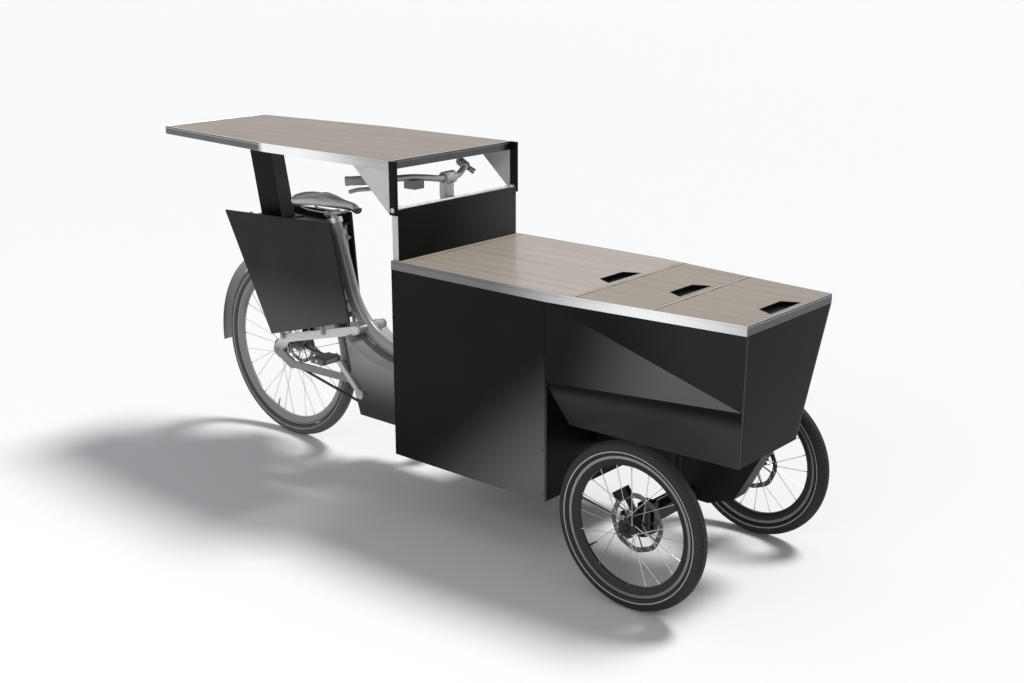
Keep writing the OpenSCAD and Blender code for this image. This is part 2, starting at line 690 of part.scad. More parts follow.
// Knuckle on the left: barrel, stub axle, tie arm and brake caliper
hub_in = track / 2 - 35;
stub_r = 8;
arm_z = beam_z - 28;
arm_h = 7;
tie_arm = 70;
tie_z = arm_z + arm_h;
rotor_y = hub_in + 4;
module caliper_block(r0) {
    for (y = [rotor_y - 11, rotor_y + 3])
        plate_xz(y, y + 8) translate([r0 - 18, -26]) square([30, 52]);
    plate_xz(rotor_y - 11, rotor_y + 11) translate([r0 + 4, -26]) square([8, 52]);
}
module knuckle() difference() {
    union() {
        translate([front_axle_x, king_y, beam_z - barrel_h / 2]) cylinder(h = barrel_h, r = barrel_r);
        block([front_axle_x - 16, king_y, beam_z - 26], [front_axle_x + 16, hub_in - 9, beam_z + 26]);
        pin_y(front_axle_x, beam_z, hub_in - 10, hub_in - seat, 13);
        pin_y(front_axle_x, beam_z, hub_in - 10, track / 2 + 23, stub_r);
        translate([front_axle_x, king_y, arm_z]) linear_extrude(arm_h)
            bar2d([0, 0], [-tie_arm, 0], 20);
        translate([front_axle_x - tie_arm, king_y, arm_z]) cylinder(h = arm_h + 20, r = 5);
        translate([front_axle_x, 0, beam_z]) rotate([0, -125, 0]) {
            block([10, hub_in - 10, -10], [96, hub_in - 4, 10]);
            caliper_block(96);
        }
    }
    translate([front_axle_x, king_y, 0]) cylinder(h = 600, r = king_r + run);
}
module knuckle_left() color("dimgray") knuckle();
module knuckle_right() color("dimgray") difference() {
    union() {
        mirror([0, 1, 0]) knuckle();
        translate([front_axle_x, -king_y, arm_z]) linear_extrude(arm_h)
            bar2d([-52, 0], front_pin, 20);
        translate([front_axle_x + front_pin.x, front_pin.y - king_y, link_z - link_eye / 2])
            cylinder(h = arm_z + arm_h - link_z + link_eye / 2, r = link_pin_r);
    }
    translate([front_axle_x, -king_y, 0]) cylinder(h = 600, r = king_r + run);
}
module tie_rod() color("gray") difference() {
    union() {
        pin_y(front_axle_x - tie_arm, tie_z + seat + 9, -king_y, king_y, 6);
        both() translate([front_axle_x - tie_arm, king_y, tie_z + seat]) cylinder(h = 18, r = 11);
    }
    both() translate([front_axle_x - tie_arm, king_y, tie_z]) cylinder(h = 30, r = 5 + run);
}
module drag_link() color("gray") {
    a = [column_pin.x - column_x, column_pin.y, link_z];
    b = [front_axle_x + front_pin.x, front_pin.y - king_y, link_z];
    down = [0, 0, link_eye / 2];
    difference() {
        union() {
            rod(a, b, 5.5);
            translate(a - down) cylinder(h = link_eye, r = 13);
            translate(b - down) cylinder(h = link_eye, r = 15);
        }
        translate(a - down * 2) cylinder(h = 4 * link_eye, r = link_pin_r + run);
        translate(b - down * 2) cylinder(h = 4 * link_eye, r = link_pin_r + 3);
    }
}

// Wheels, turned about Y in their own plane: tyre, rim, laced spokes and hub
module turned(x, y, z) translate([x, y, z]) rotate([90, 0, 0]) children();
module tyre(r, w) rotate_extrude($fn = 96) difference() {
    translate([r - w, 0]) circle(r = w);
    translate([0, -50]) square([r - tyre_h, 100]);
}
module rim(r, w) rotate_extrude($fn = 96) {
    o = r - tyre_h;
    polygon([[o, w], [o, -w], [o - 8, -w], [o - rim_h, -w * 0.35], [o - rim_h, w * 0.35], [o - 8, w]]);
}
module spokes(n, r, flange_r, flange) for (i = [0 : n - 1]) {
    s = i % 2 ? 1 : -1;
    a = i * 360 / n;
    r0 = flange_r + 0.5;
    r1 = r - tyre_h - rim_h - 0.4;
    rod([r0 * cos(a), r0 * sin(a), s * flange], [r1 * cos(a), r1 * sin(a), s * 3], 1.3);
}
module rotor(r) difference() {
    cylinder(h = 2, r = r);
    translate([0, 0, -1]) for (i = [0 : 5])
        rotate(i * 60) translate([r * 0.55, 0]) cylinder(h = 4, r = r * 0.2);
}
rotor_r = 90;
flange_r = 30;
module front_wheel() difference() {
    union() {
        rim(front_r, 15);
        translate([0, 0, -23]) cylinder(h = 58, r = 16);
        for (z = [-22, 18]) translate([0, 0, z]) cylinder(h = 4, r = flange_r);
        translate([0, 0, 29]) rotor(rotor_r);
    }
    translate([0, 0, -30]) cylinder(h = 80, r = stub_r + run);
}
module front_left_tyre() color("#1c1c1c")
    turned(front_axle_x, track / 2, front_r) tyre(front_r, front_tyre_r);
module front_left_wheel() color("silver") turned(front_axle_x, track / 2, front_r) front_wheel();
module front_left_spokes() color("silver") turned(front_axle_x, track / 2, front_r)
    spokes(front_spoke_n, front_r, flange_r, 20);
module front_right_spokes() color("silver") mirror([0, 1, 0]) front_left_spokes();
module front_right_tyre() color("#1c1c1c") mirror([0, 1, 0])
    turned(front_axle_x, track / 2, front_r) tyre(front_r, front_tyre_r);
module front_right_wheel() color("silver") mirror([0, 1, 0])
    turned(front_axle_x, track / 2, front_r) front_wheel();

module rear_tyre() color("#1c1c1c") turned(axle.x, 0, axle.y) tyre(rear_r, rear_tyre_r);
belt_y = 48;
module rear_wheel() color("silver") turned(axle.x, 0, axle.y) difference() {
    union() {
        rim(rear_r, 13.5);
        translate([0, 0, seat - stay_y]) cylinder(h = stay_y - seat + 40, r = 15);
        translate([0, 0, 40]) cylinder(h = stay_y - seat - 40, r = 15);
        for (z = [-34, 30]) translate([0, 0, z]) cylinder(h = 4, r = flange_r);
        translate([0, 0, -rear_rotor_y - 2]) rotor(80);
    }
    translate([0, 0, -100]) cylinder(h = 200, r = axle_r + run);
}
module rear_spokes() color("silver") turned(axle.x, 0, axle.y)
    spokes(rear_spoke_n, rear_r, flange_r, 32);
module pulley(c, r, bore) plate_xz(-belt_y - 3, -belt_y + 3) translate(c) difference() {
    circle(r = r);
    circle(r = bore);
}
module rear_sprocket() color("gray") pulley(axle, sprocket_r, 15 + run);

// Crank with front pulley, pedals and toothed belt
function arm_end(side) = crank + side * crank_l * [cos(crank_angle), sin(crank_angle)];
crank_y = cover_y + 2;
pedal_r = 6;
module crank_arm(side) {
    p = arm_end(side);
    y0 = side > 0 ? -crank_y - 12 : crank_y;
    plate_xz(y0, y0 + 12) {
        bar2d(crank, p, 20);
        translate(crank) circle(r = 17);
    }
    pin_y(p.x, p.y, side > 0 ? -crank_y - 100 : crank_y + 10,
        side > 0 ? -crank_y - 10 : crank_y + 100, pedal_r);
}
module crankset() color("gray") {
    pin_y(crank.x, crank.y, -crank_y - 12, crank_y + 12, spindle_r);
    difference() {
        pulley(crank, pulley_r, spindle_r - 1);
        for (i = [0 : 4]) translate(xz(crank)) rotate([0, i * 72, 0])
            pin_y(42, 0, -belt_y - 9, -belt_y + 9, 16);
    }
    crank_arm(1);
    crank_arm(-1);
}
module pedal(side) {
    p = arm_end(side);
    y0 = side > 0 ? -crank_y - 98 : crank_y + 12 + seat;
    difference() {
        block([p.x - 32, y0, p.y - 11], [p.x + 32, y0 + 85, p.y + 11]);
        pin_y(p.x, p.y, y0 - 1, y0 + 100, pedal_r + run);
    }
}
module pedal_right() color("dimgray") pedal(1);
module pedal_left() color("dimgray") pedal(-1);
module belt_loop(d) {
    r1 = pulley_r + seat + d;
    r2 = sprocket_r + seat + d;
    v = axle - crank;
    a = atan2(v.y, v.x);
    b = acos((r1 - r2) / norm(v));
    translate(crank) circle(r = r1);
    translate(axle) circle(r = r2);
    polygon([crank + r1 * [cos(a + b), sin(a + b)], crank + r1 * [cos(a - b), sin(a - b)],
        axle + r2 * [cos(a - b), sin(a - b)], axle + r2 * [cos(a + b), sin(a + b)]]);
}
module drive_belt() color("#1c1c1c") plate_xz(-belt_y - 5, -belt_y + 5) difference() {
    belt_loop(4);
    belt_loop(0);
}

// Saddle on its post: rails under a padded shell that narrows to the nose
saddle_z = 967;
saddle_rear = -780;
saddle_l = 300;
pad_n = 15;
pad_ring = 20;
rail_z = saddle_z - 62;
function pad_w(t) = 20 + 62 * pow(cos(90 * min(1, max(0, (t - 0.12) / 0.75))), 1.5)
    - 26 * pow(max(0, 0.12 - t) / 0.12, 2);
function pad_crown(t) = saddle_z - 18 * pow(max(0, 1 - abs(t - 0.1) / 0.2), 1) * 0.3
    - 22 * pow(max(0, t - 0.35), 1.2) - 8 * pow(max(0, t - 0.9) * 10, 2);
function pad_depth(t) = 44 - 16 * t;
function pad_point(t, a) = let (c = cos(a), s = sin(a), w = pad_w(t))
    [saddle_rear + saddle_l * t, w * sign(c) * pow(abs(c), 0.75),
    pad_crown(t) - pad_depth(t) * (s > 0 ? 0.5 - 0.5 * pow(s, 0.8) : 0.5 - 0.5 * s)];
module saddle() color("gray") {
    ring = [for (i = [0 : pad_n]) [for (k = [0 : pad_ring - 1])
        pad_point(i / pad_n, 360 * k / pad_ring + 9)]];
    points = [for (r = ring) for (p = r) p];
    polyhedron(points, concat([[for (k = [0 : pad_ring - 1]) k]],
        [[for (k = [pad_ring - 1 : -1 : 0]) pad_n * pad_ring + k]],
        [for (i = [0 : pad_n - 1]) for (k = [0 : pad_ring - 1])
            let (a = i * pad_ring + k, b = i * pad_ring + (k + 1) % pad_ring)
            each [[a, a + pad_ring, b + pad_ring], [a, b + pad_ring, b]]]));
}
module seatpost() color("silver") {
    top = seat_at(rail_z - 4);
    rod(xz(seat_at(seat_top_z - 160)), xz(top), post_r);
    pin_y(top.x, rail_z, -30, 30, 11);
    line = [for (p = [[30, 30, 11.5], [60, 22, 2], [200, 22, 2], [250, 12, 20]])
        p + [saddle_rear, 0, rail_z]];
    both() for (i = [0 : 2]) {
        rod(line[i], line[i + 1], 3.5);
        if (i > 0) elbow(line[i], line[i + 1] - line[i - 1], 3.8);
    }
}

module lid_rear() lid(0);
module lid_middle() lid(1);
module lid_front() lid(2);
module lid_rear_fittings() lid_fittings(0);
module lid_middle_fittings() lid_fittings(1);
module lid_front_fittings() lid_fittings(2);

counter_band();
counter_strips();
lid_hinges();
side_panels();
cross_panels();
floor_panels();
nose_sides();
nose_front();
cold_wells();
posts();
back_panel();
mast();
carrier();
rear_rack();
main_frame();
frame_covers();
rear_fork();
mudguard();
seat_clamp();
steering_tube();
keel();
lid_rear();
lid_middle();
lid_front();
lid_rear_fittings();
lid_middle_fittings();
lid_front_fittings();
table_top();
table_band();
table_underside();
table_arms();
gussets();
hinge_shaft();
steering_column();
stem();
handlebar();
grips();
bar_controls();
brake_lever_right();
brake_lever_left();
knuckle_right();
knuckle_left();
tie_rod();
drag_link();
front_right_tyre();
front_right_wheel();
front_right_spokes();
front_left_tyre();
front_left_wheel();
front_left_spokes();
rear_tyre();
rear_wheel();
rear_spokes();
rear_sprocket();
crankset();
pedal_right();
pedal_left();
drive_belt();
seatpost();
saddle();
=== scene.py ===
from math import acos, atan2, cos, hypot, pi, radians, sin
import bpy
import bmesh
from mathutils import Matrix, Vector


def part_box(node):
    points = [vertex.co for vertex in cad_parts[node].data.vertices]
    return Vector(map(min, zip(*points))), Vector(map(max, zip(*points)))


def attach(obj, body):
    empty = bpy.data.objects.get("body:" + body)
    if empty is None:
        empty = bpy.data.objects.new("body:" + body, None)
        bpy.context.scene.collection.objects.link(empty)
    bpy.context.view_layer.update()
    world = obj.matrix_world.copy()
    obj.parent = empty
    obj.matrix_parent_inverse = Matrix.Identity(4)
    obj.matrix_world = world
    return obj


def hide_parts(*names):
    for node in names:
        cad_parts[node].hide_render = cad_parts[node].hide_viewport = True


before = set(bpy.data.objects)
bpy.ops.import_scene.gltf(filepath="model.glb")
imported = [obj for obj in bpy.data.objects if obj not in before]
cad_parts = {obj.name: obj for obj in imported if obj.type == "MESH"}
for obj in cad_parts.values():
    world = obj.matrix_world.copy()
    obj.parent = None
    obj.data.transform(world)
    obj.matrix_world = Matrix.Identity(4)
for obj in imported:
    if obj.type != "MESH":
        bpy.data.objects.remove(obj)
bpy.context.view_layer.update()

# Edge bands of counter and table.
# Brushed aluminium flat bar, mitred at the corners, with a fine shadow groove
# rolled in under its top edge. It is screwed to the slabs from inside.
rear_x, kink_x, front_x = -0.015, 0.622, 1.261
half_w, narrow_w = 0.2975, 0.235


def fill(node, sockets):
    """Set each socket to a value, or join it to an output or to a node's first output."""
    for key, value in sockets.items():
        source = value.outputs[0] if isinstance(value, bpy.types.Node) else value
        if isinstance(source, bpy.types.NodeSocket):
            node.id_data.links.new(source, node.inputs[key])
        else:
            node.inputs[key].default_value = source
    return node


def wired(tree, kind, sockets, **settings):
    """A new shader node with its settings and its sockets filled."""
    made = tree.nodes.new("ShaderNode" + kind)
    for key, value in settings.items():
        setattr(made, key, value)
    return fill(made, sockets)


def surface(name, sockets):
    """A material and its shader, with constants on its own sockets."""
    made = bpy.data.materials.new(name)
    made.use_nodes = True
    return made, fill(made.node_tree.nodes["Principled BSDF"], sockets)


def grain(tree, scale, stretch=(1, 1, 1), detail=3.0, distortion=0.0):
    """Noise on Object coordinates, drawn out along X, Y or Z."""
    place = wired(tree, "TexCoord", {})
    turn = wired(tree, "Mapping", {"Vector": place.outputs["Object"], "Scale": stretch})
    return wired(tree, "TexNoise", {"Vector": turn, "Scale": scale, "Detail": detail,
                                    "Distortion": distortion})


def ramp(tree, source, colours, places=(0, 1)):
    """A colour that goes from the first to the second between two values of the source."""
    made = wired(tree, "ValToRGB", {"Fac": source})
    for end, place, colour in zip(made.color_ramp.elements, places, colours):
        end.position, end.color = place, (*colour, 1)
    return made


def dress(shader, paint, source, rough, relief, strength, depth):
    """Join the colour, a gloss that follows the source, and the relief's fine bump."""
    tree = shader.id_data
    gloss = wired(tree, "MapRange", {"Value": source, "To Min": rough[0], "To Max": rough[1]})
    lift = wired(tree, "Bump", {"Height": relief, "Strength": strength, "Distance": depth})
    fill(shader, {"Base Color": paint, "Roughness": gloss, "Normal": lift})


def finish(name, colour, rough, metal=0.0, spread=0.12, rough_spread=0.08, patch=6.0,
           bump=0.02, fine=700.0, stretch=(1, 1, 1), coat=0.0, coat_rough=0.1, sheen=0.0,
           shine=0.5, fade=None):
    """One surface: colour and gloss that vary in soft patches, and a fine bump.

    A fade is a second colour, the two points between which it comes in, and
    1 where it then stays or 2 where it goes back again.
    """
    made, shader = surface(name, {"Metallic": metal, "Coat Weight": coat, "Coat Roughness": coat_rough,
                                  "Sheen Weight": sheen, "Specular IOR Level": shine})
    tree = made.node_tree
    cloud = grain(tree, patch)
    ends = [[min(1, c * (1 + way * spread)) for c in colour] for way in (-1, 1)]
    paint = ramp(tree, cloud, ends, (0.3, 0.7))
    if fade:
        far, start, end, reach = fade
        run = Vector(end) - Vector(start)
        place = wired(tree, "TexCoord", {})
        shift = wired(tree, "VectorMath", {0: place.outputs["Object"], 1: start}, operation="SUBTRACT")
        along = wired(tree, "VectorMath", {0: shift, 1: run / run.length_squared},
                      operation="DOT_PRODUCT")
        limit = wired(tree, "Clamp", {"Value": along.outputs["Value"], "Max": reach})
        fold = wired(tree, "Math", {0: limit, 1: 1}, operation="PINGPONG")
        ease = wired(tree, "MapRange", {"Value": fold}, interpolation_type="SMOOTHSTEP")
        paint = wired(tree, "Mix", {"Factor": ease, "A": paint, "B": (*far, 1)},
                      data_type="RGBA").outputs["Result"]
    dress(shader, paint, cloud, (rough - rough_spread, rough + rough_spread),
          grain(tree, fine, stretch, 2.0), bump, 0.001)
    return made


def mesh_of(name, shape):
    """A bmesh as a mesh."""
    mesh = bpy.data.meshes.new(name)
    shape.to_mesh(mesh)
    shape.free()
    return mesh


def shown(name, data):
    """A new object in the scene."""
    made = bpy.data.objects.new(name, data)
    bpy.context.collection.objects.link(made)
    return made


def piece(name, shape, body, material, *nodes, angle=35, more=()):
    """Make a bmesh an object that rides on a body and stands for its CAD nodes."""
    mesh = mesh_of(name, shape)
    for skin in (material, *more):
        mesh.materials.append(skin)
    mesh.shade_smooth()
    mesh.set_sharp_from_angle(angle=radians(angle))
    made = shown(name, mesh)
    even = made.modifiers.new("flat faces", "WEIGHTED_NORMAL")
    even.keep_sharp = True
    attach(made, body)
    if nodes:
        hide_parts(*nodes)


def slab_outline(inset, z, mirror):
    """Corners of the counter's outline, or of the table's where mirror is -1."""
    wide, thin = half_w - inset, narrow_w - inset
    x0, x1 = mirror * rear_x + inset, front_x - inset
    row = [(x0, wide), (kink_x, wide), (x1, thin), (x1, -thin), (kink_x, -wide), (x0, -wide)]
    return [(mirror * x, y, z) for x, y in row]


def outwards(shape):
    """Turn all the faces outwards."""
    bmesh.ops.recalc_face_normals(shape, faces=shape.faces)
    return shape


def bridged(shape, loops):
    """A skin from each loop of edges to the next."""
    for one, other in zip(loops, loops[1:]):
        bmesh.ops.bridge_loops(shape, edges=one + other)
    return outwards(shape)


def outline(shape, points, closed=True):
    """Edges from point to point, and back to the first if closed."""
    row = [shape.verts.new(p) for p in points]
    return [shape.edges.new(pair) for pair in zip(row, row[1:] + row[:closed])]


def edge_band(z, mirror):
    """A closed ring: levels of the bar's section, bridged from one to the next."""
    shape = bmesh.new()
    levels = [(0.0005, 0), (0, 0.0005), (0, 0.0218), (0.0009, 0.0224), (0.0009, 0.0236),
              (0, 0.0242), (0, 0.0285), (0.0005, 0.029), (0.0025, 0.029), (0.003, 0.0285), (0.003, 0)]
    loops = [outline(shape, slab_outline(inset, z + up, mirror)) for inset, up in levels]
    bridged(shape, loops + loops[:1])
    # Front faces take the bar of painted shade; the table's tapered sides take its bar of painted shade and
    # highlight.
    for face in shape.faces:
        if face.normal.x > 0.9:
            face.material_index = 1
        elif mirror < 0 and abs(face.normal.y) > 0.9 and abs(face.normal.x) > 0.02:
            face.material_index = 2
    return shape


def brushed(name, grey, *fade):
    """Aluminium brushed along its length; a fade, where given, paints a highlight or shade along it."""
    return finish(name, (grey, grey, grey * 1.01), 0.3, metal=1.0, spread=0.05, rough_spread=0.06,
                  bump=0.05, fine=90.0, stretch=(1, 1, 40), fade=fade)


# The bars' colours are painted light and shade: the counter's bar is dark with a painted highlight towards
# its front, the table's bar has a painted highlight that fades towards the posts, the tapered end of the
# table is painted shade that turns to a highlight at the kink, and all front faces are painted shade.
counter_bar_painted_highlight = brushed("brushed aluminium", 0.17, (0.85, 0.85, 0.86), (0.38, 0, 0), (0.97, 0, 0), 2)
table_bar_painted_highlight = brushed("brushed aluminium of the table, painted highlight", 0.95, (0.45, 0.45, 0.455), (-0.45, 0, 0),
                    (-0.05, 0, 0), 1)
painted_shade_bar = brushed("brushed aluminium, painted shade", 0.085)
table_end_bar_painted_shade = brushed("brushed aluminium of the tapered end", 0.13, (0.9, 0.9, 0.91), (-0.66, 0, 0),
                        (-kink_x, 0, 0), 1)
piece("counter_edge", edge_band(0.84, 1), "chassis", counter_bar_painted_highlight, "counter_band", angle=25,
      more=(painted_shade_bar,))
piece("table_edge", edge_band(1.159, -1), "table", table_bar_painted_highlight, "table_band", angle=25,
      more=(painted_shade_bar, table_end_bar_painted_shade))

# Wooden counter: rear strip, two cross bars and three lids.
# Pale oiled oak veneer on board, grain lengthways, lacquered to a low gloss,
# with its edges broken so that they don't chip.


def joined(node):
    """The CAD node's triangles, joined where they meet."""
    shape = bmesh.new()
    shape.from_mesh(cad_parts[node].data)
    bmesh.ops.remove_doubles(shape, verts=shape.verts, dist=1e-5)
    return shape


def merged(node):
    """The CAD node's shape as clean flat faces."""
    shape = joined(node)
    bmesh.ops.dissolve_limit(shape, angle_limit=radians(0.6), verts=shape.verts, edges=shape.edges)
    return shape


def soften(shape, width, segments=2, angle=40, shortest=0.0):
    """Round every edge that is sharper than the angle."""
    sharp = [e for e in shape.edges if len(e.link_faces) == 2
             and e.calc_face_angle(0) > radians(angle) and e.calc_length() > shortest]
    bmesh.ops.bevel(shape, geom=sharp, offset=width, offset_type="OFFSET", affect="EDGES",
                    segments=segments, profile=0.5, material=-1, clamp_overlap=True)
    return shape


def eased_piece(name, node, body, material, *edge, **fine):
    """The node's own shape with rounded edges, in its finish."""
    piece(name, soften(merged(node), *edge, **fine), body, material, node)


def oak(name, dark, pale):
    """Veneer: long growth bands, fine pores along X and a thin lacquer."""
    made, shader = surface(name, {"Coat Weight": 0.16, "Coat Roughness": 0.09,
                                  "Specular IOR Level": 0.15})
    tree = made.node_tree
    bands = grain(tree, 5.0, (0.35, 7.0, 3.0), 6.0, 0.35)
    pores = grain(tree, 40.0, (0.3, 14.0, 8.0), 4.0)
    both = wired(tree, "Mix", {"Factor": 0.38, "A": bands, "B": pores},
                 data_type="FLOAT").outputs["Result"]
    dress(shader, ramp(tree, both, (dark, pale), (0.36, 0.62)), both, (0.46, 0.34), pores, 0.06, 0.0006)
    return made


counter_oak = oak("counter oak", (0.325, 0.28, 0.235), (0.415, 0.363, 0.313))
# The middle and front lids take a darker copy of the counter's oak: painted shade over them.
lid_oak_painted_shade = oak("lid oak, painted shade", (0.228, 0.187, 0.148), (0.297, 0.248, 0.2))
eased_piece("counter_cross_bars", "counter_strips", "chassis", counter_oak, 0.0009)
for place, wood in (("rear", counter_oak), ("middle", lid_oak_painted_shade), ("front", lid_oak_painted_shade)):
    eased_piece(place + "_lid_board", "lid_" + place, place + "_lid", wood, 0.0009)

# Finger pulls and hinge leaves of the lids.
# Pressed black steel dishes set into the boards; piano hinges of folded
# steel strip run on a thin pin under the rear edge of each lid.


def powder_black(name, grey=0.004, *fade, shine=0.085):
    """Black powder coat, with a fine orange peel."""
    return finish(name, (grey, grey, grey * 1.06), 0.34, spread=0.2, rough_spread=0.05, patch=4.0,
                  bump=0.035, fine=1100.0, shine=shine, fade=fade)


def worn_steel(name, colour):
    """Bare steel in the tone that its coating gives it."""
    return finish(name, colour, 0.36, metal=1.0, spread=0.1, rough_spread=0.1, patch=40.0,
                  bump=0.04, fine=300.0)


satin_black = powder_black("satin black powder coat")
for place in ("rear", "middle", "front"):
    eased_piece("lid_%s_pull_dish" % place, "lid_%s_fittings" % place, place + "_lid", satin_black, 0.0004)
steel = worn_steel("zinc plated steel", (0.5, 0.5, 0.51))
dark_steel = worn_steel("burnished steel", (0.11, 0.11, 0.112))
piece("lid_hinge_strips", merged("lid_hinges"), "chassis", dark_steel, "lid_hinges")

# Cold wells under the lids.
# Folded and welded stainless tubs that hang by their flanges from the
# panels' top edges; their inside corners are rounded for cleaning.
stainless = finish("brushed stainless", (0.62, 0.62, 0.63), 0.3, metal=1.0, spread=0.06,
                   bump=0.05, fine=60.0, stretch=(30, 1, 1))
eased_piece("cold_well_tubs", "cold_wells", "chassis", stainless, 0.0012, 3)

# Box of the cargo bay.
# Black powder coated sandwich panels with broken edges, screwed together
# through their edges with low button heads.


def set_down(shape, part, at, way):
    """Turn a part's Z axis along the way, move it to its place and join it to the shape."""
    turn = Vector((0, 0, 1)).rotation_difference(Vector(way)).to_matrix().to_4x4()
    bmesh.ops.transform(part, matrix=Matrix.Translation(at) @ turn, verts=part.verts)
    holder = mesh_of("joined", part)
    shape.from_mesh(holder)
    bpy.data.meshes.remove(holder)
    return shape


def stack(shape, at, way, radius, height, insets, segments):
    """A turned part on a surface: a disc whose top is inset and raised or sunk in steps."""
    made = bmesh.new()
    bmesh.ops.create_cone(made, cap_ends=True, segments=segments, radius1=radius, radius2=radius,
                          depth=height, matrix=Matrix.Translation((0, 0, height / 2)))
    top = max(made.faces, key=lambda f: f.calc_center_median().z)
    for inward, upward in insets:
        bmesh.ops.inset_individual(made, faces=[top], thickness=inward, depth=upward)
    return set_down(shape, made, at, way)


def button_head(shape, at, way, radius=0.0045, height=0.0022):
    """Low domed screw head with a socket."""
    at = Vector(at) - Vector(way) * 0.0008
    return stack(shape, at, way, radius, height,
                 [(radius * 0.3, height * 0.5), (radius * 0.22, 0), (radius * 0.04, -height * 0.8)], 14)


def head_pairs(shape, spots, way=None, *size):
    """Button heads at the spots and at their mirror places, facing the way or outwards."""
    for side in (1, -1):
        for x, y, z in spots:
            button_head(shape, (x, side * y, z), way or (0, side, 0), *size)


side_walls = soften(merged("side_panels"), 0.0015, 3)
head_pairs(side_walls, [(x, half_w, z) for z in (0.235, 0.38, 0.53, 0.68, 0.815) for x in (-0.009, 0.616)]
           + [(x, half_w, 0.215) for x in (0.15, 0.3, 0.45)])
# The walls' black is painted lighter towards their lower front: a painted highlight.
wall_black_painted_highlight = powder_black("wall black, painted highlight", 0.005, (0.16, 0.16, 0.162), (0.375, 0, 0.51), (0.6, 0, 0.25), 1)
piece("box_side_walls", side_walls, "chassis", wall_black_painted_highlight, "side_panels")
cross_walls = soften(merged("cross_panels"), 0.001)
head_pairs(cross_walls, [(rear_x, 0.27, z) for z in (0.24, 0.42, 0.62, 0.81)], (-1, 0, 0))
head_pairs(cross_walls, [(kink_x, 0.27, z) for z in (0.24, 0.33, 0.42)], (1, 0, 0))
piece("box_cross_walls", cross_walls, "chassis", satin_black, "cross_panels")
eased_piece("box_floors", "floor_panels", "chassis", satin_black, 0.0015)

# Nose.
# Two folded skins with a crease that runs forward and down, and a front
# plate that leans back. The folds are sharp, the panels flat between them.
nose_skins = outwards(merged("nose_sides"))
# Outward faces take painted light and shade: the upper triangle is painted lighter forward, the upright
# triangle along the crease carries a painted highlight, and the skin below the crease is painted shade,
# darkest right under the fold.
for face in nose_skins.faces:
    outward = face.normal.y * face.calc_center_median().y > 0
    if outward and abs(face.normal.y) > 0.3:
        low = face.calc_center_median().z < 0.6
        face.material_index = 2 if low else 1 if abs(face.normal.z) < 0.02 else 0
upper_skin_painted_light = powder_black("upper skin black, painted light", 0.004, (0.022, 0.022, 0.023), (0.8, 0, 0), (1.15, 0, 0), 1)
crease_skin_painted_highlight = powder_black("crease skin black, painted highlight", 0.008, (0.13, 0.13, 0.132), (0.68, 0, 0.715),
                            (1.03, 0, 0.62), 1)
lower_skin_painted_shade = powder_black("lower skin black, painted shade", 0.01, (0.055, 0.055, 0.056), (0, 0, 0.59), (0, 0, 0.54), 1)
piece("nose_skins", soften(nose_skins, 0.0012, 3, angle=6), "chassis", upper_skin_painted_light,
      "nose_sides", angle=5, more=(crease_skin_painted_highlight, lower_skin_painted_shade))
# The front plate is painted darker at its top and lighter lower down: painted shade.
front_plate_painted_shade = powder_black("front plate black", 0.001, (0.006, 0.006, 0.0062), (0, 0, 0.7), (0, 0, 0.45), 1,
                           shine=0.05)
eased_piece("nose_front_plate", "nose_front", "chassis", front_plate_painted_shade, 0.0012, 3)

# Posts and screen at the rear of the counter.
# Two milled aluminium posts, clear lacquered, carry the table's shaft; a thin
# black sheet is screwed to their front faces.
pale_alloy = finish("clear lacquered alloy", (0.52, 0.52, 0.53), 0.34, metal=0.55, spread=0.04,
                    rough_spread=0.06, bump=0.03, fine=200.0, stretch=(1, 1, 12))
eased_piece("table_posts", "posts", "chassis", pale_alloy, 0.0012, 3, shortest=0.012)
screen = soften(merged("back_panel"), 0.0007)
head_pairs(screen, [(0.014, 0.276, z) for z in (0.928, 0.97, 1.015)], (1, 0, 0), 0.004)
# The screen's black is painted lighter towards its far side: a painted highlight.
screen_black_painted_highlight = powder_black("screen black, painted highlight", 0.004, (0.05, 0.05, 0.051), (0, -0.12, 1.0), (0, 0.32, 0.9), 1)
piece("counter_screen", screen, "chassis", screen_black_painted_highlight, "back_panel")

# Bar table.
# The same veneer on a board, black beneath, hung on two black steel arms.
# Grey folded corner plates brace the arms, and cap nuts close the shaft.
table_oak = oak("table oak", (0.174, 0.137, 0.102), (0.23, 0.182, 0.139))
eased_piece("table_board", "table_top", "table", table_oak, 0.0009)
underside = soften(merged("table_underside"), 0.001)
taper = 0.0975
head_pairs(underside, [(x, 0.27 - max(0, -kink_x - x) * taper, 1.159)
                       for x in (-0.05, -0.3, -0.55, -0.8, -1.05)], (0, 0, -1))
piece("table_lining", underside, "table", satin_black, "table_underside")
eased_piece("table_arm_bars", "table_arms", "table", satin_black, 0.0015, 3, shortest=0.012)
plate_grey = finish("grey powder coat", (0.6, 0.6, 0.61), 0.42, spread=0.05, bump=0.03,
                    fine=900.0, patch=5.0)
braces = soften(merged("gussets"), 0.0008)
head_pairs(braces, [(x, half_w, z) for x, z in ((-0.026, 1.146), (-0.026, 1.07), (-0.14, 1.148))],
           None, 0.0042, 0.0018)
piece("corner_plates", braces, "table", plate_grey, "gussets")
pivot_z = 1.033
shaft = merged("hinge_shaft")
for side in (1, -1):
    stack(shaft, (0, side * (half_w - 0.0005), pivot_z), (0, side, 0), 0.009, 0.003,
          [(0.0015, 0.0012), (0.003, 0.0008)], 6)
piece("table_shaft", shaft, "table", steel, "hinge_shaft")

# Mast of the table.
# A slanted black box section of welded sheet on a bolted foot plate; the
# table rests on its closed head.
mast = soften(merged("mast"), 0.0025, 3)
mast_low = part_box("mast")[0]
head_pairs(mast, [(mast_low.x + back, 0.046, 0.861) for back in (0.018, 0.145)], (0, 0, 1), 0.006, 0.003)
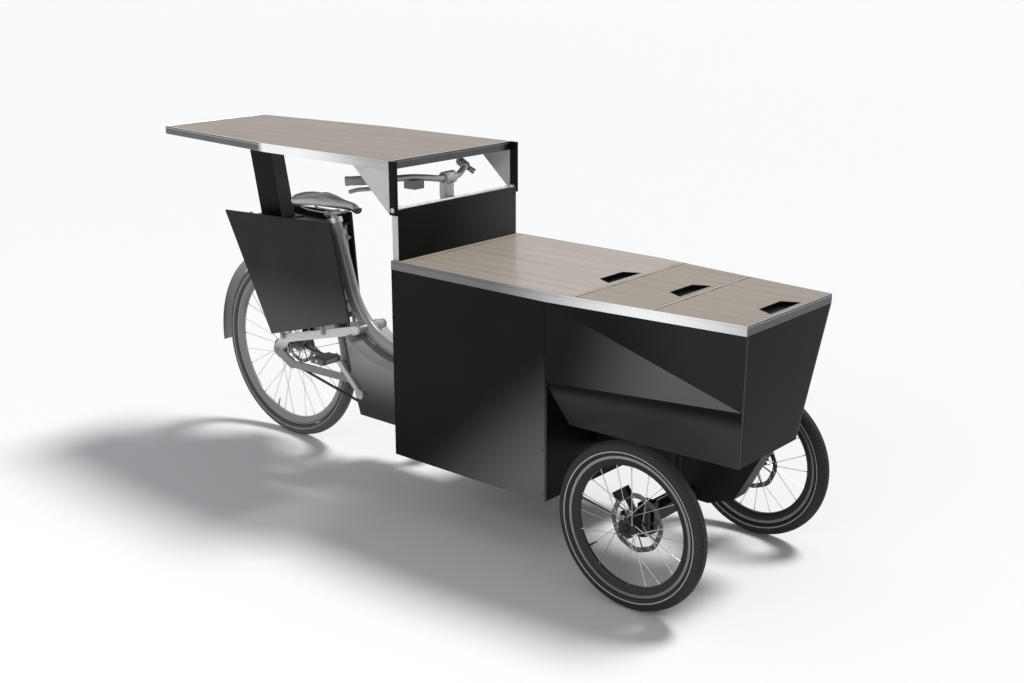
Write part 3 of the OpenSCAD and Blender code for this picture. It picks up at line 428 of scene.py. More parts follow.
# Faces that look forward take a lighter black: painted light on the mast's front.
for face in mast.faces:
    face.material_index = int(face.normal.x > 0.9)
mast_front_painted_light = powder_black("mast front black", 0.09)
piece("table_mast", mast, "chassis", satin_black, "mast", more=(mast_front_painted_light,))

# Rear carrier.
# Two dark plates beside the wheel on a deck and four tube struts; studs on
# their inner faces hold each plate to the spacers on the struts.
# The plates' grey is painted lighter towards their bottom edge: painted light.
carrier_grey_painted_light = powder_black("dark grey powder coat, painted light", 0.026, (0.105, 0.105, 0.107), (0, 0, 0.7),
                         (0, 0, 0.46), 1)
eased_piece("carrier_plates", "carrier", "chassis", carrier_grey_painted_light, 0.002, 3)
frame_grey = finish("silver grey enamel", (0.4, 0.405, 0.41), 0.33, metal=0.1, spread=0.05,
                    rough_spread=0.05, fine=1400.0, coat=0.35, coat_rough=0.12)
piece("carrier_struts", merged("rear_rack"), "chassis", frame_grey, "rear_rack")

# Frame of the bicycle half.
# One drawn tube, bent under the rider, with brazed lugs; weld beads run
# round the joints. It is bolted to the box by a flange at its head tube.
crank_at = Vector((-0.38, 0, 0.29))
rear_hub = Vector((-0.877, 0, 0.354))


def ray(turn, length=1.0, y=0.0):
    """A way in the side view, turned up from the forward way, with a part sideways."""
    return Vector((length * cos(turn), y, length * sin(turn)))


def spun(shape, steps, cent=(0, 0, 0), axis=(0, 0, 1)):
    """Spin all the lines right round the axis."""
    bmesh.ops.spin(shape, geom=shape.verts[:] + shape.edges[:], cent=cent, axis=axis, angle=2 * pi,
                   steps=steps, use_merge=True)
    bmesh.ops.remove_doubles(shape, verts=shape.verts, dist=1e-6)
    return outwards(shape)


def bead(shape, at, way, radius, thick=0.0022, turns=48):
    """A weld bead: a thin ring round a joint."""
    made = bmesh.new()
    bmesh.ops.create_circle(made, segments=8, radius=thick,
                            matrix=Matrix.Translation((radius, 0, 0)) @ Matrix.Rotation(pi / 2, 4, "X"))
    set_down(shape, spun(made, turns), at, way)


tube = merged("main_frame")
seat_way, fall_way = ray(-radians(71.6)), ray(-radians(8.6))
for at, way in (((-0.52936, 0, 0.64292), seat_way), ((-0.28956, 0, 0.44099), fall_way),
                ((-0.0695, 0, 0.4077), fall_way)):
    bead(tube, at, way, 0.0246)
for side in (1, -1):
    for x, z, radius in ((-0.49, 0.318, 0.0175), (-0.4383, 0.5085, 0.0155)):
        bead(tube, (x, side * 0.0615, z), (0, 1, 0), radius, 0.002, 32)
head_pairs(tube, [(-0.02, 0.048, z) for z in (0.345, 0.485)], (-1, 0, 0), 0.0065, 0.004)
piece("frame_tube", tube, "chassis", frame_grey, "main_frame")
fork = merged("rear_fork")
caliper_corners = [v for v in fork.verts if 0.03 < v.co.y < 0.0622
                   and hypot(v.co.x - rear_hub.x, v.co.z - rear_hub.z) > 0.045]
bmesh.ops.delete(fork, geom=caliper_corners, context="VERTS")
# The fork's silver is painted pale at the top as a highlight and darker below as shade.
fork_silver_painted_light = finish("silver enamel, painted highlight and shade", (0.9, 0.905, 0.91), 0.33, spread=0.05, fine=1400.0, coat=0.3,
                     coat_rough=0.12, fade=((0.3, 0.3, 0.302), (0, 0, 0.4), (0, 0, 0.35), 1))
piece("rear_fork_plates", soften(fork, 0.0012, shortest=0.02), "chassis", fork_silver_painted_light, "rear_fork")

# Side covers under the bend.
# Two moulded shells in the frame's colour, painted darker towards the bottom
# as shade, joined on the middle plane and held by screws with wide heads.
cover_grey_painted_shade = finish("grey moulded cover, painted shade", (0.36, 0.362, 0.365), 0.4, spread=0.07, patch=3.0,
                    bump=0.05, fine=1500.0, coat=0.15, coat_rough=0.3, shine=0.3,
                    fade=((0.03, 0.03, 0.031), (0, 0, 0.46), (0, 0, 0.24), 1))
covers = soften(merged("frame_covers"), 0.0022, 3, shortest=0.03)
head_pairs(covers, [(-0.36, 0.1, 0.232), (-0.05, 0.1, 0.232), (-0.05, 0.1, 0.352), (-0.437, 0.1, 0.45)],
           None, 0.0065, 0.003)
piece("frame_cover_shells", covers, "chassis", cover_grey_painted_shade, "frame_covers")

# Mudguard.
# Rolled and painted strip with a bead along each edge, on a frame boss and
# two wire stays that reach up from the axle.
guard = bmesh.new()
guard_r = 0.3815
half_section = [(0.015, 0.0013), (0.026, 0.001), (0.0285, 0.0004), (0.03, -0.0015), (0.0285, -0.0013),
                (0.015, -0.0006)]
section = [(0, 0.0015), *half_section, (0, -0.0004), *((-y, lift) for y, lift in half_section[::-1])]
ring = [guard.verts.new(rear_hub + ray(radians(30), guard_r + lift, y)) for y, lift in section]
guard.faces.new(ring)
bmesh.ops.spin(guard, geom=guard.faces[:], cent=rear_hub, axis=(0, -1, 0), angle=radians(156), steps=72)
outwards(guard)
for turn in (radians(150), radians(180)):
    stack(guard, rear_hub + ray(turn, guard_r + 0.0013), ray(turn), 0.005, 0.0015, [(0.0015, 0.0006)], 12)
guard_grey = finish("mudguard enamel", (0.2, 0.2, 0.205), 0.32, spread=0.06, fine=1200.0, coat=0.3)
piece("mudguard_strip", guard, "chassis", guard_grey, "mudguard")

# Seat clamp, rear brake caliper and upper tube of the steering.
# A split alloy ring with its bolt, two piston halves bolted over the rotor to
# a bridge, and the enamelled tube in which the steering column turns.
alloy = finish("satin alloy", (0.56, 0.565, 0.57), 0.3, metal=0.85, spread=0.05,
               rough_spread=0.07, bump=0.03, fine=500.0, patch=20.0)
eased_piece("seat_clamp_ring", "seat_clamp", "chassis", alloy, 0.0008, shortest=0.03)


def block(shape, size, at=(0, 0, 0)):
    """A rectangular block with its middle at a point."""
    corners = bmesh.ops.create_cube(shape, size=1)["verts"]
    bmesh.ops.scale(shape, vec=size, verts=corners)
    bmesh.ops.translate(shape, vec=at, verts=corners)
    return corners


rotor_y, bridge = 0.047, 0.0825
caliper = bmesh.new()
for y in (rotor_y - 0.0052, rotor_y + 0.0092):
    block(caliper, (0.029, 0.0082, 0.044), (bridge - 0.0155, y, 0))
block(caliper, (0.008, 0.0225, 0.042), (bridge + 0.0035, rotor_y + 0.002, 0))
soften(caliper, 0.003, 3)
for z in (-0.013, 0.013):
    button_head(caliper, (bridge + 0.0075, rotor_y + 0.002, z), (1, 0, 0), 0.0038, 0.002)
stack(caliper, (bridge - 0.013, rotor_y + 0.0128, 0), (0, 1, 0), 0.0095, 0.0015,
      [(0.002, 0.0008), (0.004, -0.001)], 24)
bmesh.ops.transform(caliper, matrix=Matrix.Translation(rear_hub) @ Matrix.Rotation(-radians(50), 4, "Y"),
                    verts=caliper.verts)
piece("rear_brake_caliper", caliper, "chassis", satin_black)
piece("steering_upper_tube", merged("steering_tube"), "chassis", frame_grey, "steering_tube")

# Chassis under the nose.
# A folded keel beam with an axle beam across it, lugs for the kingpins and
# four struts up to the nose's floor, all painted black.
front_axle_x = 0.981
chassis_black = finish("chassis black", (0.01, 0.01, 0.0105), 0.42, spread=0.2, bump=0.06,
                       fine=800.0, shine=0.2)
keel = soften(merged("keel"), 0.002, shortest=0.012)
for y in (0.105, 0.145, -0.105, -0.145):
    for z in (0.2755, 0.4258):
        bead(keel, (front_axle_x, y, z), (0, 0, 1), 0.0085, 0.002, 20)
piece("keel_beam", keel, "chassis", chassis_black, "keel")

# Steering knuckles with their brake calipers.
# Forged black knuckles turn on the kingpins; each carries its stub axle,
# a track arm and a two-piston caliper over the rotor.
track_arm_x, king_y, front_hub_z = front_axle_x - 0.07, 0.285, 0.253
for word, side in (("left", 1), ("right", -1)):
    knuckle = soften(merged("knuckle_" + word), 0.0012, shortest=0.012)
    stack(knuckle, (track_arm_x, side * king_y, 0.2515), (0, 0, 1), 0.0085, 0.006, [(0.0015, 0.001)], 6)
    stack(knuckle, (front_axle_x, side * 0.369, front_hub_z), (0, side, 0), 0.0135, 0.004,
          [(0.002, 0.0015), (0.004, 0.002)], 6)
    piece("steering_knuckle_" + word, knuckle, word + "_knuckle", chassis_black, "knuckle_" + word)

# Track rod and long steering link.
# Plated steel rods with eyes at both ends, locked by hexagon nuts.


def nut(shape, at, way, radius, long):
    """A chamfered hexagon nut on a rod, its middle at the point."""
    at = Vector(at) - Vector(way).normalized() * long / 2
    return stack(shape, at, way, radius, long, [(radius * 0.12, 0.0006)], 6)


track_rod = merged("tie_rod")
for side in (1, -1):
    nut(track_rod, (track_arm_x, side * 0.262, 0.2503), (0, side, 0), 0.0088, 0.008)
piece("track_rod", track_rod, "tie", steel, "tie_rod")
link_from, link_to = Vector((-0.125, 0.08, 0.19)), Vector((0.931, -0.235, 0.19))
long_link = merged("drag_link")
link_way = (link_to - link_from).normalized()
for at in (link_from + link_way * 0.024, link_to - link_way * 0.026):
    nut(long_link, at, link_way, 0.0082, 0.008)
piece("steering_link", long_link, "link", steel, "drag_link")

# Steering column, stem and handlebar.
# A steel column with a clamped alloy stem; the bar is one bent alloy tube
# that sweeps back, thicker where the stem's face plate holds it.


def edges_of(ring):
    """The edges that meet at the ring's points."""
    return list({e for v in ring for e in v.link_edges})


def tube_along(shape, points, radius, sides):
    """A tube through the points: a circle bridged to the next at each of them."""
    rings, turn = [], None
    for i, at in enumerate(points):
        before, after = points[max(i - 1, 0)], points[min(i + 1, len(points) - 1)]
        way = (after - before).normalized()
        if turn is None:
            turn = Vector((0, 0, 1)).rotation_difference(way)
        else:
            turn = (turn @ Vector((0, 0, 1))).rotation_difference(way) @ turn
        ring = bmesh.ops.create_circle(shape, cap_ends=i in (0, len(points) - 1), segments=sides,
                                       radius=radius,
                                       matrix=Matrix.Translation(at) @ turn.to_matrix().to_4x4())
        rings.append(edges_of(ring["verts"]))
    return bridged(shape, rings)


def eased(points, reach, steps=6):
    """The same line with its corners rounded."""
    row = [points[0]]
    for before, corner, after in zip(points, points[1:], points[2:]):
        into, out = (corner + (end - corner).normalized() * min(reach, (end - corner).length * 0.45)
                     for end in (before, after))
        for t in [k / steps for k in range(steps + 1)]:
            row.append(into.lerp(corner, t).lerp(corner.lerp(out, t), t))
    return row + [points[-1]]


eased_piece("steering_column_tube", "steering_column", "steering", steel, 0.0008, shortest=0.006)
bar_grey = finish("grey anodised bar", (0.42, 0.42, 0.425), 0.34, metal=0.35, spread=0.06,
                  rough_spread=0.06, fine=900.0, patch=12.0)
stem = soften(merged("stem"), 0.0012, angle=50, shortest=0.02)
for z in (1.043, 1.068):
    button_head(stem, (-0.069, 0.009, z), (-1, 0, 0), 0.004, 0.003)
clamp_x, clamp_z = -0.038, 1.098
for y in (-0.017, 0.017):
    for up in (-0.0135, 0.0135):
        button_head(stem, (clamp_x + 0.0165, y, clamp_z + up), (1, 0, 0), 0.0036, 0.003)
piece("handlebar_stem", stem, "steering", bar_grey, "stem")
bar_left = [Vector(p) for p in ((clamp_x, 0, clamp_z), (-0.036, 0.045, clamp_z), (-0.052, 0.078, 1.104),
                                (-0.086, 0.128, 1.108), (-0.13, 0.186, 1.104), (-0.235, 0.275, clamp_z))]
half_line = eased(bar_left, 0.022)
bar_line = [Vector((p.x, -p.y, p.z)) for p in half_line[:0:-1]] + half_line
bar = tube_along(bmesh.new(), bar_line, 0.011, 28)


def turned(shape, profile, at, way, steps):
    """A part turned on a lathe: the profile, as length along the axis and radius, spun round."""
    made = bmesh.new()
    outline(made, [(radius, 0, along) for along, radius in profile],
            profile[0][1] > 0 and profile[-1][1] > 0)
    return set_down(shape, spun(made, steps), at, way)


turned(bar, [(0, 0.0), (0, 0.0112), (0.008, 0.0114), (0.018, 0.0159), (0.058, 0.0159), (0.068, 0.0114),
             (0.076, 0.0112), (0.076, 0.0)], (clamp_x, -0.038, clamp_z), (0, 1, 0), 32)
piece("handlebar_tube", bar, "steering", bar_grey, "handlebar")

# Grips.
# Moulded rubber sleeves with shallow rings for the fingers, a flange at
# the inner end and a plug in the open end.
rubber_grip = finish("grip rubber", (0.27, 0.27, 0.273), 0.62, spread=0.1, patch=30.0,
                     rough_spread=0.06, bump=0.16, fine=1600.0)
bore_r, ring_pitch, ring_depth, grip_length = 0.01115, 0.005, 0.0007, 0.11
sleeve = [(0.0, bore_r), (0.0, 0.015), (0.0012, 0.016), (0.005, 0.016), (0.0065, 0.0146)]
for along in [0.01 + ring_pitch * k for k in range(18)]:
    bulge = 0.015 + 0.0008 * sin(pi * (along - 0.01) / 0.088)
    sleeve += [(along, bulge), (along + 0.0026, bulge), (along + 0.0032, bulge - ring_depth),
               (along + 0.0044, bulge - ring_depth)]
sleeve += [(0.1025, 0.015), (0.104, 0.016), (0.112, 0.016), (0.1138, 0.0148), (0.114, 0.0)]
bore = [(0.1105, 0.0), (0.1105, bore_r), (0.0, bore_r)]
grips = bmesh.new()
grip_way = (bar_left[5] - bar_left[4]).normalized()
for side in (1, -1):
    mirror = Vector((1, side, 1))
    for profile in (sleeve, bore):
        turned(grips, profile, (bar_left[5] - grip_way * grip_length) * mirror, grip_way * mirror, 36)
bmesh.ops.remove_doubles(grips, verts=grips.verts, dist=2e-5)
piece("bar_grips", outwards(grips), "steering", rubber_grip, "grips")

# Brake levers, their clamps and the display.
# Cast clamps hold the lever pins; the two-finger blades are forged alloy.
# The display is a moulded box with a dark glass face that leans to the rider.
control_grey = finish("control grey", (0.17, 0.17, 0.172), 0.4, spread=0.1, bump=0.04, fine=1100.0)
eased_piece("lever_clamps_and_display", "bar_controls", "steering", control_grey, 0.0009, angle=50,
            shortest=0.004)
for word in ("right", "left"):
    eased_piece("brake_lever_%s_blade" % word, "brake_lever_" + word, word + "_lever", bar_grey,
                0.0022, 3, angle=50, shortest=0.005)
glass, glass_shader = surface("display glass", {"Coat Weight": 1.0, "Coat Roughness": 0.03,
                                                "Roughness": 0.12})
shade = grain(glass.node_tree, 9.0, detail=2.0)
fill(glass_shader, {"Base Color": ramp(glass.node_tree, shade, ((0.01, 0.011, 0.013),
                                                                (0.02, 0.022, 0.026)))})
pane = bmesh.new()
block(pane, (0.04, 0.038, 0.0016), (-0.078, -0.121, 1.0998))
piece("display_face", soften(pane, 0.0006), "steering", glass)

# Wheels: rubber tyres with a pale line on the wall, grey behind and dark in
# front, on extruded alloy rims, black with bare edges in front; the dark of the
# front tyres and rims is painted shade. They are laced to turned hubs, to which
# wavy steel rotors are bolted.


def tyre_rubber(name, grey, rough, spread, shine):
    """Vulcanised rubber with a dusty, grained skin."""
    return finish(name, grey, rough, spread=spread, patch=14.0, rough_spread=0.07, bump=0.22,
                  fine=1300.0, shine=shine)


rear_rubber = tyre_rubber("grey tyre rubber", (0.115, 0.115, 0.117), 0.68, 0.12, 0.3)
# The front tyres and rims are darkened as painted shade.
front_rubber_painted_shade = tyre_rubber("dark tyre rubber, painted shade", (0.024, 0.024, 0.025), 0.62, 0.14, 0.25)
wall_line = finish("pale wall line", (0.46, 0.46, 0.46), 0.5, spread=0.05, bump=0.05, fine=900.0)
rim_grey = finish("satin rim", (0.235, 0.235, 0.24), 0.3, metal=0.5, spread=0.06, patch=10.0,
                  rough_spread=0.07, bump=0.03)
front_rim_painted_shade = finish("black rim, painted shade", (0.028, 0.028, 0.029), 0.36, metal=0.3, spread=0.1, patch=10.0,
                   rough_spread=0.06, bump=0.03, shine=0.25)
spoke_steel = finish("spoke steel", (0.55, 0.55, 0.56), 0.24, metal=1.0, spread=0.08,
                     rough_spread=0.06, fine=400.0)


def mirrored(half):
    """A whole section from the half on one side of the middle plane."""
    return [(-across, radius) for across, radius in half[::-1]] + half


def wheel_spin(section, hub, steps):
    """A ring turned round the wheel's axle from a section of (sideways, radius) points."""
    made = bmesh.new()
    outline(made, [(hub[0] + radius, hub[1] + across, hub[2]) for across, radius in section])
    return spun(made, steps, hub, (0, 1, 0))


# Degrees from the middle of the tread, and millimetres by which a rib or line
# stands proud there, or a groove lies deep.
tyre_section = mirrored([(4, -1.2), (5, 0), (14, 0), (23, 0), (24, -1.2), (28, -1.2), (29, 0.35),
                         (38, 0.35), (47, 0.35), (55, 0.35), (56, 0), (68, 0), (84, 0), (99, 0),
                         (100, 0.5), (108, 0.5), (109, 0), (120, 0), (130, -0.4), (141.5, 0)])


def tyre(place, body, hub, radius, half, blocks, rubber):
    """The casing, with ribs in the middle, sipes in the shoulders and two wall lines."""
    middle = radius - half
    section = [(reach * sin(turn), middle + reach * cos(turn)) for turn, reach in
               [(radians(angle), half + lift / 1000 - 0.0004) for angle, lift in tyre_section]]
    shape = wheel_spin(section, hub, blocks)
    shoulder = []
    for face in shape.faces:
        spot = face.calc_center_median()
        out = hypot(spot.x - hub[0], spot.z - hub[2]) - middle
        lean = abs(atan2(spot.y - hub[1], out)) * 180 / pi
        step = round(atan2(spot.z - hub[2], spot.x - hub[0]) / (2 * pi) * blocks)
        if 29 < lean < 54 and step % 2:
            shoulder.append(face)
        face.material_index = int(101 < lean < 107)
    bmesh.ops.inset_individual(shape, faces=shoulder, thickness=0.0009)
    bmesh.ops.inset_individual(shape, faces=shoulder, thickness=0.0004, depth=-0.0011)
    piece(place + "_tyre_casing", shape, body, rubber, place + "_tyre", angle=50, more=(wall_line,))


def rim(place, body, hub, out, half, hub_profile, valve, paint):
    """Rim and hub in one piece: the rim's box section, the hub and the valve."""
    deep = 0.031
    section = mirrored([(half * 0.28, out - deep), (half * 0.42, out - deep + 0.002),
                        (half * 0.72, out - 0.02), (half - 0.0008, out - 0.009), (half, out - 0.0075),
                        (half, out - 0.0008), (half - 0.0012, out)])
    shape = wheel_spin(section, hub, 120)
    for face in shape.faces:
        spot = face.calc_center_median()
        face.material_index = int(hypot(spot.x - hub[0], spot.z - hub[2]) > out - 0.0085)
    turned(shape, hub_profile, hub, (0, 1, 0), 48)
    stack(shape, Vector(hub) + ray(valve, out - deep + 0.0005), -ray(valve), 0.0034, 0.004,
          [(0.0008, 0.024), (0.0006, 0.0), (-0.0004, 0.008), (0.001, 0.001)], 12)
    piece(place + "_rim_and_hub", shape, body, paint, place + "_wheel", angle=40, more=(rim_grey,))


def laced(place, body, hub, count, flange, rim_radius, cross):
    """Spokes that leave the flanges sideways in pairs, with a nipple at the rim end."""
    shape = bmesh.new()
    wire, flange_r = 0.00115, 0.0265
    for k in range(count):
        side, way = (1, -1)[k % 2], (1, -1)[(k // 2) % 2]
        turn = 2 * pi * k / count
        start = Vector(hub) + ray(turn - way * cross, flange_r, side * (flange + way * 0.0031))
        end = Vector(hub) + ray(turn, rim_radius, side * 0.003)
        run = end - start
        lie = Vector((0, 0, 1)).rotation_difference(run).to_matrix().to_4x4()
        for low, high, long, at, pose in (
                (wire, wire, run.length, (start + end) / 2, lie),
                (0.0018, 0.0022, 0.012, end - run.normalized() * 0.0055, lie),
                (0.0019, 0.0019, 0.0014, start, Matrix.Rotation(pi / 2, 4, "X"))):
            bmesh.ops.create_cone(shape, cap_ends=True, segments=8, radius1=low, radius2=high,
                                  depth=long, matrix=Matrix.Translation(at) @ pose)
    piece(place + "_laced_spokes", shape, body, spoke_steel, place + "_spokes")


def thicken(shape, thick):
    """Give a flat sheet its thickness along Z."""
    grown = bmesh.ops.extrude_face_region(shape, geom=shape.faces[:])["geom"]
    bmesh.ops.translate(shape, vec=(0, 0, thick),
                        verts=[g for g in grown if isinstance(g, bmesh.types.BMVert)])
    return outwards(shape)


def rotor(place, body, hub, y, side, radius):
    """A laser cut disc: wavy edges, two rows of slots and slanted arms to the hub."""
    waves = arms = 8
    steps = waves * 12
    thick, bolt_circle = 0.0018, 0.0222
    shape, disc = bmesh.new(), bmesh.new()
    rows = [radius - inward for inward in (0.0165, 0.0125, 0.0105, 0.0065, 0.0045, 0.0012)]
    rings = []
    for reach in rows:
        ring = bmesh.ops.create_circle(shape, segments=steps, radius=reach)["verts"]
        for vert in ring:
            vert.co *= 1 + 0.0013 / reach * cos(waves * atan2(vert.co.y, vert.co.x))
        rings.append(edges_of(ring))
    bridged(shape, rings)
    gone = []
    for face in shape.faces:
        spot = face.calc_center_median()
        step = int((atan2(spot.y, spot.x) % (2 * pi)) / (2 * pi) * steps)
        slot_row = 1 if step % 6 < 3 else 3
        if rows[slot_row] + 0.0005 < spot.length < rows[slot_row + 1] - 0.0005:
            gone.append(face)
    bmesh.ops.delete(shape, geom=gone, context="FACES")
    thicken(shape, thick)
    for k in range(arms):
        arm = block(shape, (radius - 0.036, 0.0042, thick), ((radius + 0.01) / 2, 0, thick / 2))
        for middle, turn in ((0.023, radians(24)), (0, 2 * pi * k / arms)):
            bmesh.ops.rotate(shape, cent=(middle, 0, 0), matrix=Matrix.Rotation(turn, 3, "Z"), verts=arm)
    turned(shape, [(0, 0.0165), (0, 0.0275), (thick, 0.0275), (thick, 0.0165)], (0, 0, 0), (0, 0, 1), 48)
    for turn in [2 * pi * k / 6 for k in range(6)]:
        stack(shape, (bolt_circle * cos(turn), bolt_circle * sin(turn), 0.0016), (0, 0, 1), 0.0036, 0.0018,
              [(0.001, 0.0008), (0.0009, -0.001)], 12)
    set_down(disc, shape, (hub[0], y, hub[2]), (0, side, 0))
    piece(place + "_rotor", disc, body, dark_steel)


outer_flange = [(0.018, 0.0295), (0.0188, 0.03), (0.0212, 0.03), (0.022, 0.0295)]
front_hub_profile = [(-0.035, 0.0081), (-0.035, 0.0145), (-0.0335, 0.016), (-0.029, 0.016),
                     (-0.0225, 0.016), *mirrored([(0.008, 0.0135), (0.017, 0.015), *outer_flange]),
                     (0.0225, 0.0155), (0.023, 0.0145), (0.023, 0.0081)]
for side, word in ((1, "left"), (-1, "right")):
    where = "front_" + word, word + "_wheel", (front_axle_x, side * 0.347, front_hub_z)
    tyre(*where, 0.253, 0.023, 240, front_rubber_painted_shade)
    rim(*where, 0.212, 0.015, [(side * along, radius) for along, radius in front_hub_profile],
        radians(215), front_rim_painted_shade)
    laced(*where, 20, 0.02, 0.1825, radians(52))
    rotor(*where, side * 0.3161, side, 0.09)
rear_hub_profile = mirrored([(0.014, 0.0135), (0.029, 0.018), (0.03, 0.0295), (0.0308, 0.03),
                             (0.0332, 0.03), (0.034, 0.0295), (0.0345, 0.0175), (0.036, 0.015),
                             (0.0605, 0.015), (0.0617, 0.013), (0.0617, 0.0051)])
where = "rear", "back_wheel", rear_hub
tyre(*where, 0.354, 0.022, 320, rear_rubber)
rim(*where, 0.313, 0.0135, rear_hub_profile, radians(250), rim_grey)
laced(*where, 28, 0.032, 0.2835, radians(58))
rotor(*where, 0.0461, 1, 0.08)

# Crank, front pulley and rear pulley.
# Forged alloy arms on a steel spindle; the pulleys are cut from plate, with
# a tooth for each gap of the belt.
pulley_y, pulley_thick, boss_y = -0.0515, 0.007, 0.1136


def tooth_ring(shape, at, radius, teeth):
    """A toothed ring: every second pair of rim points is drawn in."""
    made = bmesh.new()
    outer = bmesh.ops.create_circle(made, segments=teeth * 4, radius=radius)["verts"]
    for vert in outer:
        place = round((atan2(vert.co.y, vert.co.x) % (2 * pi)) / (2 * pi) * teeth * 4)
        if place % 4 in (0, 1):
            vert.co *= (radius - 0.0022) / radius
    inner = bmesh.ops.create_circle(made, segments=teeth * 4, radius=radius - 0.006)["verts"]
    bmesh.ops.bridge_loops(made, edges=edges_of(outer + inner))
    thicken(made, pulley_thick)
    return set_down(shape, made, (at.x, pulley_y, at.z), (0, 1, 0))


crank_set = soften(merged("crankset"), 0.0011, angle=50, shortest=0.004)
tooth_ring(crank_set, crank_at, 0.0702, 40)
for side in (-1, 1):
    stack(crank_set, (crank_at.x, side * boss_y, crank_at.z), (0, side, 0), 0.0125, 0.0016,
          [(0.0025, 0.0), (0.0015, -0.0014), (0.004, 0.0)], 24)
piece("crank_and_pulley", crank_set, "crank", alloy, "crankset")
rear_pulley = tooth_ring(merged("rear_sprocket"), rear_hub, 0.0352, 20)
piece("rear_pulley", rear_pulley, "sprocket", alloy, "rear_sprocket")

# Toothed belt.
# Moulded polyurethane with cords inside; its teeth show on the inner side of
# the straight runs.
belt = merged("drive_belt")
front_r, rear_r, tooth_pitch, belt_y = 0.0703, 0.0353, 0.011, -0.048
across = rear_hub - crank_at
lean = atan2(across.z, across.x)
spread_angle = acos((front_r - rear_r) / across.length)
for side in (1, -1):
    out = ray(lean + side * spread_angle)
    start, end = crank_at + out * front_r, rear_hub + out * rear_r
    along = (end - start).normalized()
    turn = Matrix(((along.x, 0, out.x), (0, 1, 0), (along.z, 0, out.z))).to_4x4()
    for k in range(int(((end - start).length - 0.03) / tooth_pitch)):
        spot = start + along * (0.02 + tooth_pitch * k) - out * 0.0008 + Vector((0, belt_y, 0))
        bmesh.ops.transform(belt, verts=block(belt, (0.0055, 0.0092, 0.0024)),
                            matrix=Matrix.Translation(spot) @ turn)
belt_black = finish("belt black", (0.03, 0.03, 0.031), 0.5, bump=0.12, fine=1500.0)
piece("toothed_belt", outwards(belt), "chassis", belt_black, "drive_belt")

# Pedals.
# Glass filled nylon bodies with raised grip bars on both faces and clear
# reflectors let into the front and rear edges.
lens_clear, lens_shader = surface("clear reflector", {"Roughness": 0.16, "Coat Weight": 0.8})
lens_tree = lens_clear.node_tree
lens_place = wired(lens_tree, "TexCoord", {}).outputs["Object"]
cells = wired(lens_tree, "TexVoronoi", {"Vector": lens_place, "Scale": 420.0})
fill(lens_shader, {"Base Color": ramp(lens_tree, cells, ((0.5, 0.51, 0.52), (0.24, 0.245, 0.25)))})
pedal_grey = finish("pedal nylon", (0.14, 0.14, 0.142), 0.55, bump=0.1, fine=1400.0)
for word, x, y, z in (("right", -0.50486, -0.1575, 0.40974), ("left", -0.25514, 0.1568, 0.17026)):
    pedal = soften(merged("pedal_" + word), 0.0022, 3, angle=60, shortest=0.03)
    for side in (1, -1):
        for bar_x in (-0.024, -0.012, 0.012, 0.024):
            block(pedal, (0.005, 0.072, 0.0016), (x + bar_x, y, z + side * 0.0111))
        for pin_y in (-0.0345, -0.0205, 0, 0.0205, 0.0345):
            button_head(pedal, (x, y + pin_y, z + side * 0.0112), (0, 0, side), 0.0024, 0.0012)
    piece("pedal_%s_body" % word, pedal, word + "_pedal", pedal_grey, "pedal_" + word)
    lenses = bmesh.new()
    for side in (1, -1):
        block(lenses, (0.0016, 0.052, 0.013), (x + side * 0.0321, y, z))
    piece("pedal_%s_reflectors" % word, soften(lenses, 0.0006), word + "_pedal", lens_clear)

# Seat post with its rail clamp.
# A drawn alloy post with a two-bolt head; the saddle's wire rails are
# pinched between two grooved plates.
post = soften(merged("seatpost"), 0.0005, angle=60, shortest=0.03)
for side in (1, -1):
    nut(post, (-0.6166, side * 0.0305, 0.905), (0, side, 0), 0.0062, 0.006)
piece("seat_post_and_rails", post, "seat", alloy, "seatpost")

# Saddle: foam on a moulded base under a grey cover. The cover is blown up a
# little from the base's shape, as foam does, with a sewn rear panel, a relief
# channel and pale piping along both.
saddle_grey = finish("saddle cover", (0.7, 0.7, 0.705), 0.42, spread=0.07, patch=12.0,
                     rough_spread=0.06, bump=0.28, fine=1500.0, sheen=0.15)
pad = joined("saddle")
for vert in pad.verts:
    vert.co -= vert.normal * 0.003
cover = shown("saddle_cover", mesh_of("saddle_cover", pad))
remesh = cover.modifiers.new("even skin", "REMESH")
remesh.mode, remesh.voxel_size = "VOXEL", 0.0042


def shaped(made):
    """The object as its modifiers leave it."""
    return made.evaluated_get(bpy.context.evaluated_depsgraph_get())


bpy.context.view_layer.update()
even_skin = bpy.data.meshes.new_from_object(shaped(cover))
cover.modifiers.clear()
cover.data = even_skin
before = [v.co.copy() for v in cover.data.vertices]
blown = cover.modifiers.new("foam pressure", "CLOTH").settings
blown.use_pressure = True
blown.uniform_pressure_force = 4.0
blown.effector_weights.gravity = 0.0
blown.quality = 6
blown.tension_stiffness = blown.compression_stiffness = 40
blown.bending_stiffness = 2.0
for step in range(1, 21):
    bpy.context.scene.frame_set(step)
after = [v.co.copy() for v in shaped(cover).data.vertices]
cover.modifiers.clear()
most = 0.004
for vert, old, new in zip(cover.data.vertices, before, after):
    move = new - old
    if move.length > most:
        move = move.normalized() * most
    vert.co = old + move
bpy.context.scene.frame_set(1)
skin = bmesh.new()
skin.from_mesh(cover.data)
for step in range(6):
    bmesh.ops.smooth_vert(skin, verts=skin.verts, factor=0.5, use_axis_x=True, use_axis_y=True,
                          use_axis_z=True)
bmesh.ops.subdivide_edges(skin, edges=skin.edges, cuts=1, use_grid_fill=True)
panel_rear, panel_front, panel_depth, seam_width = -0.762, -0.655, 0.0022, 0.006
channel_half, channel_depth, channel_fade = 0.007, 0.0035, 0.03


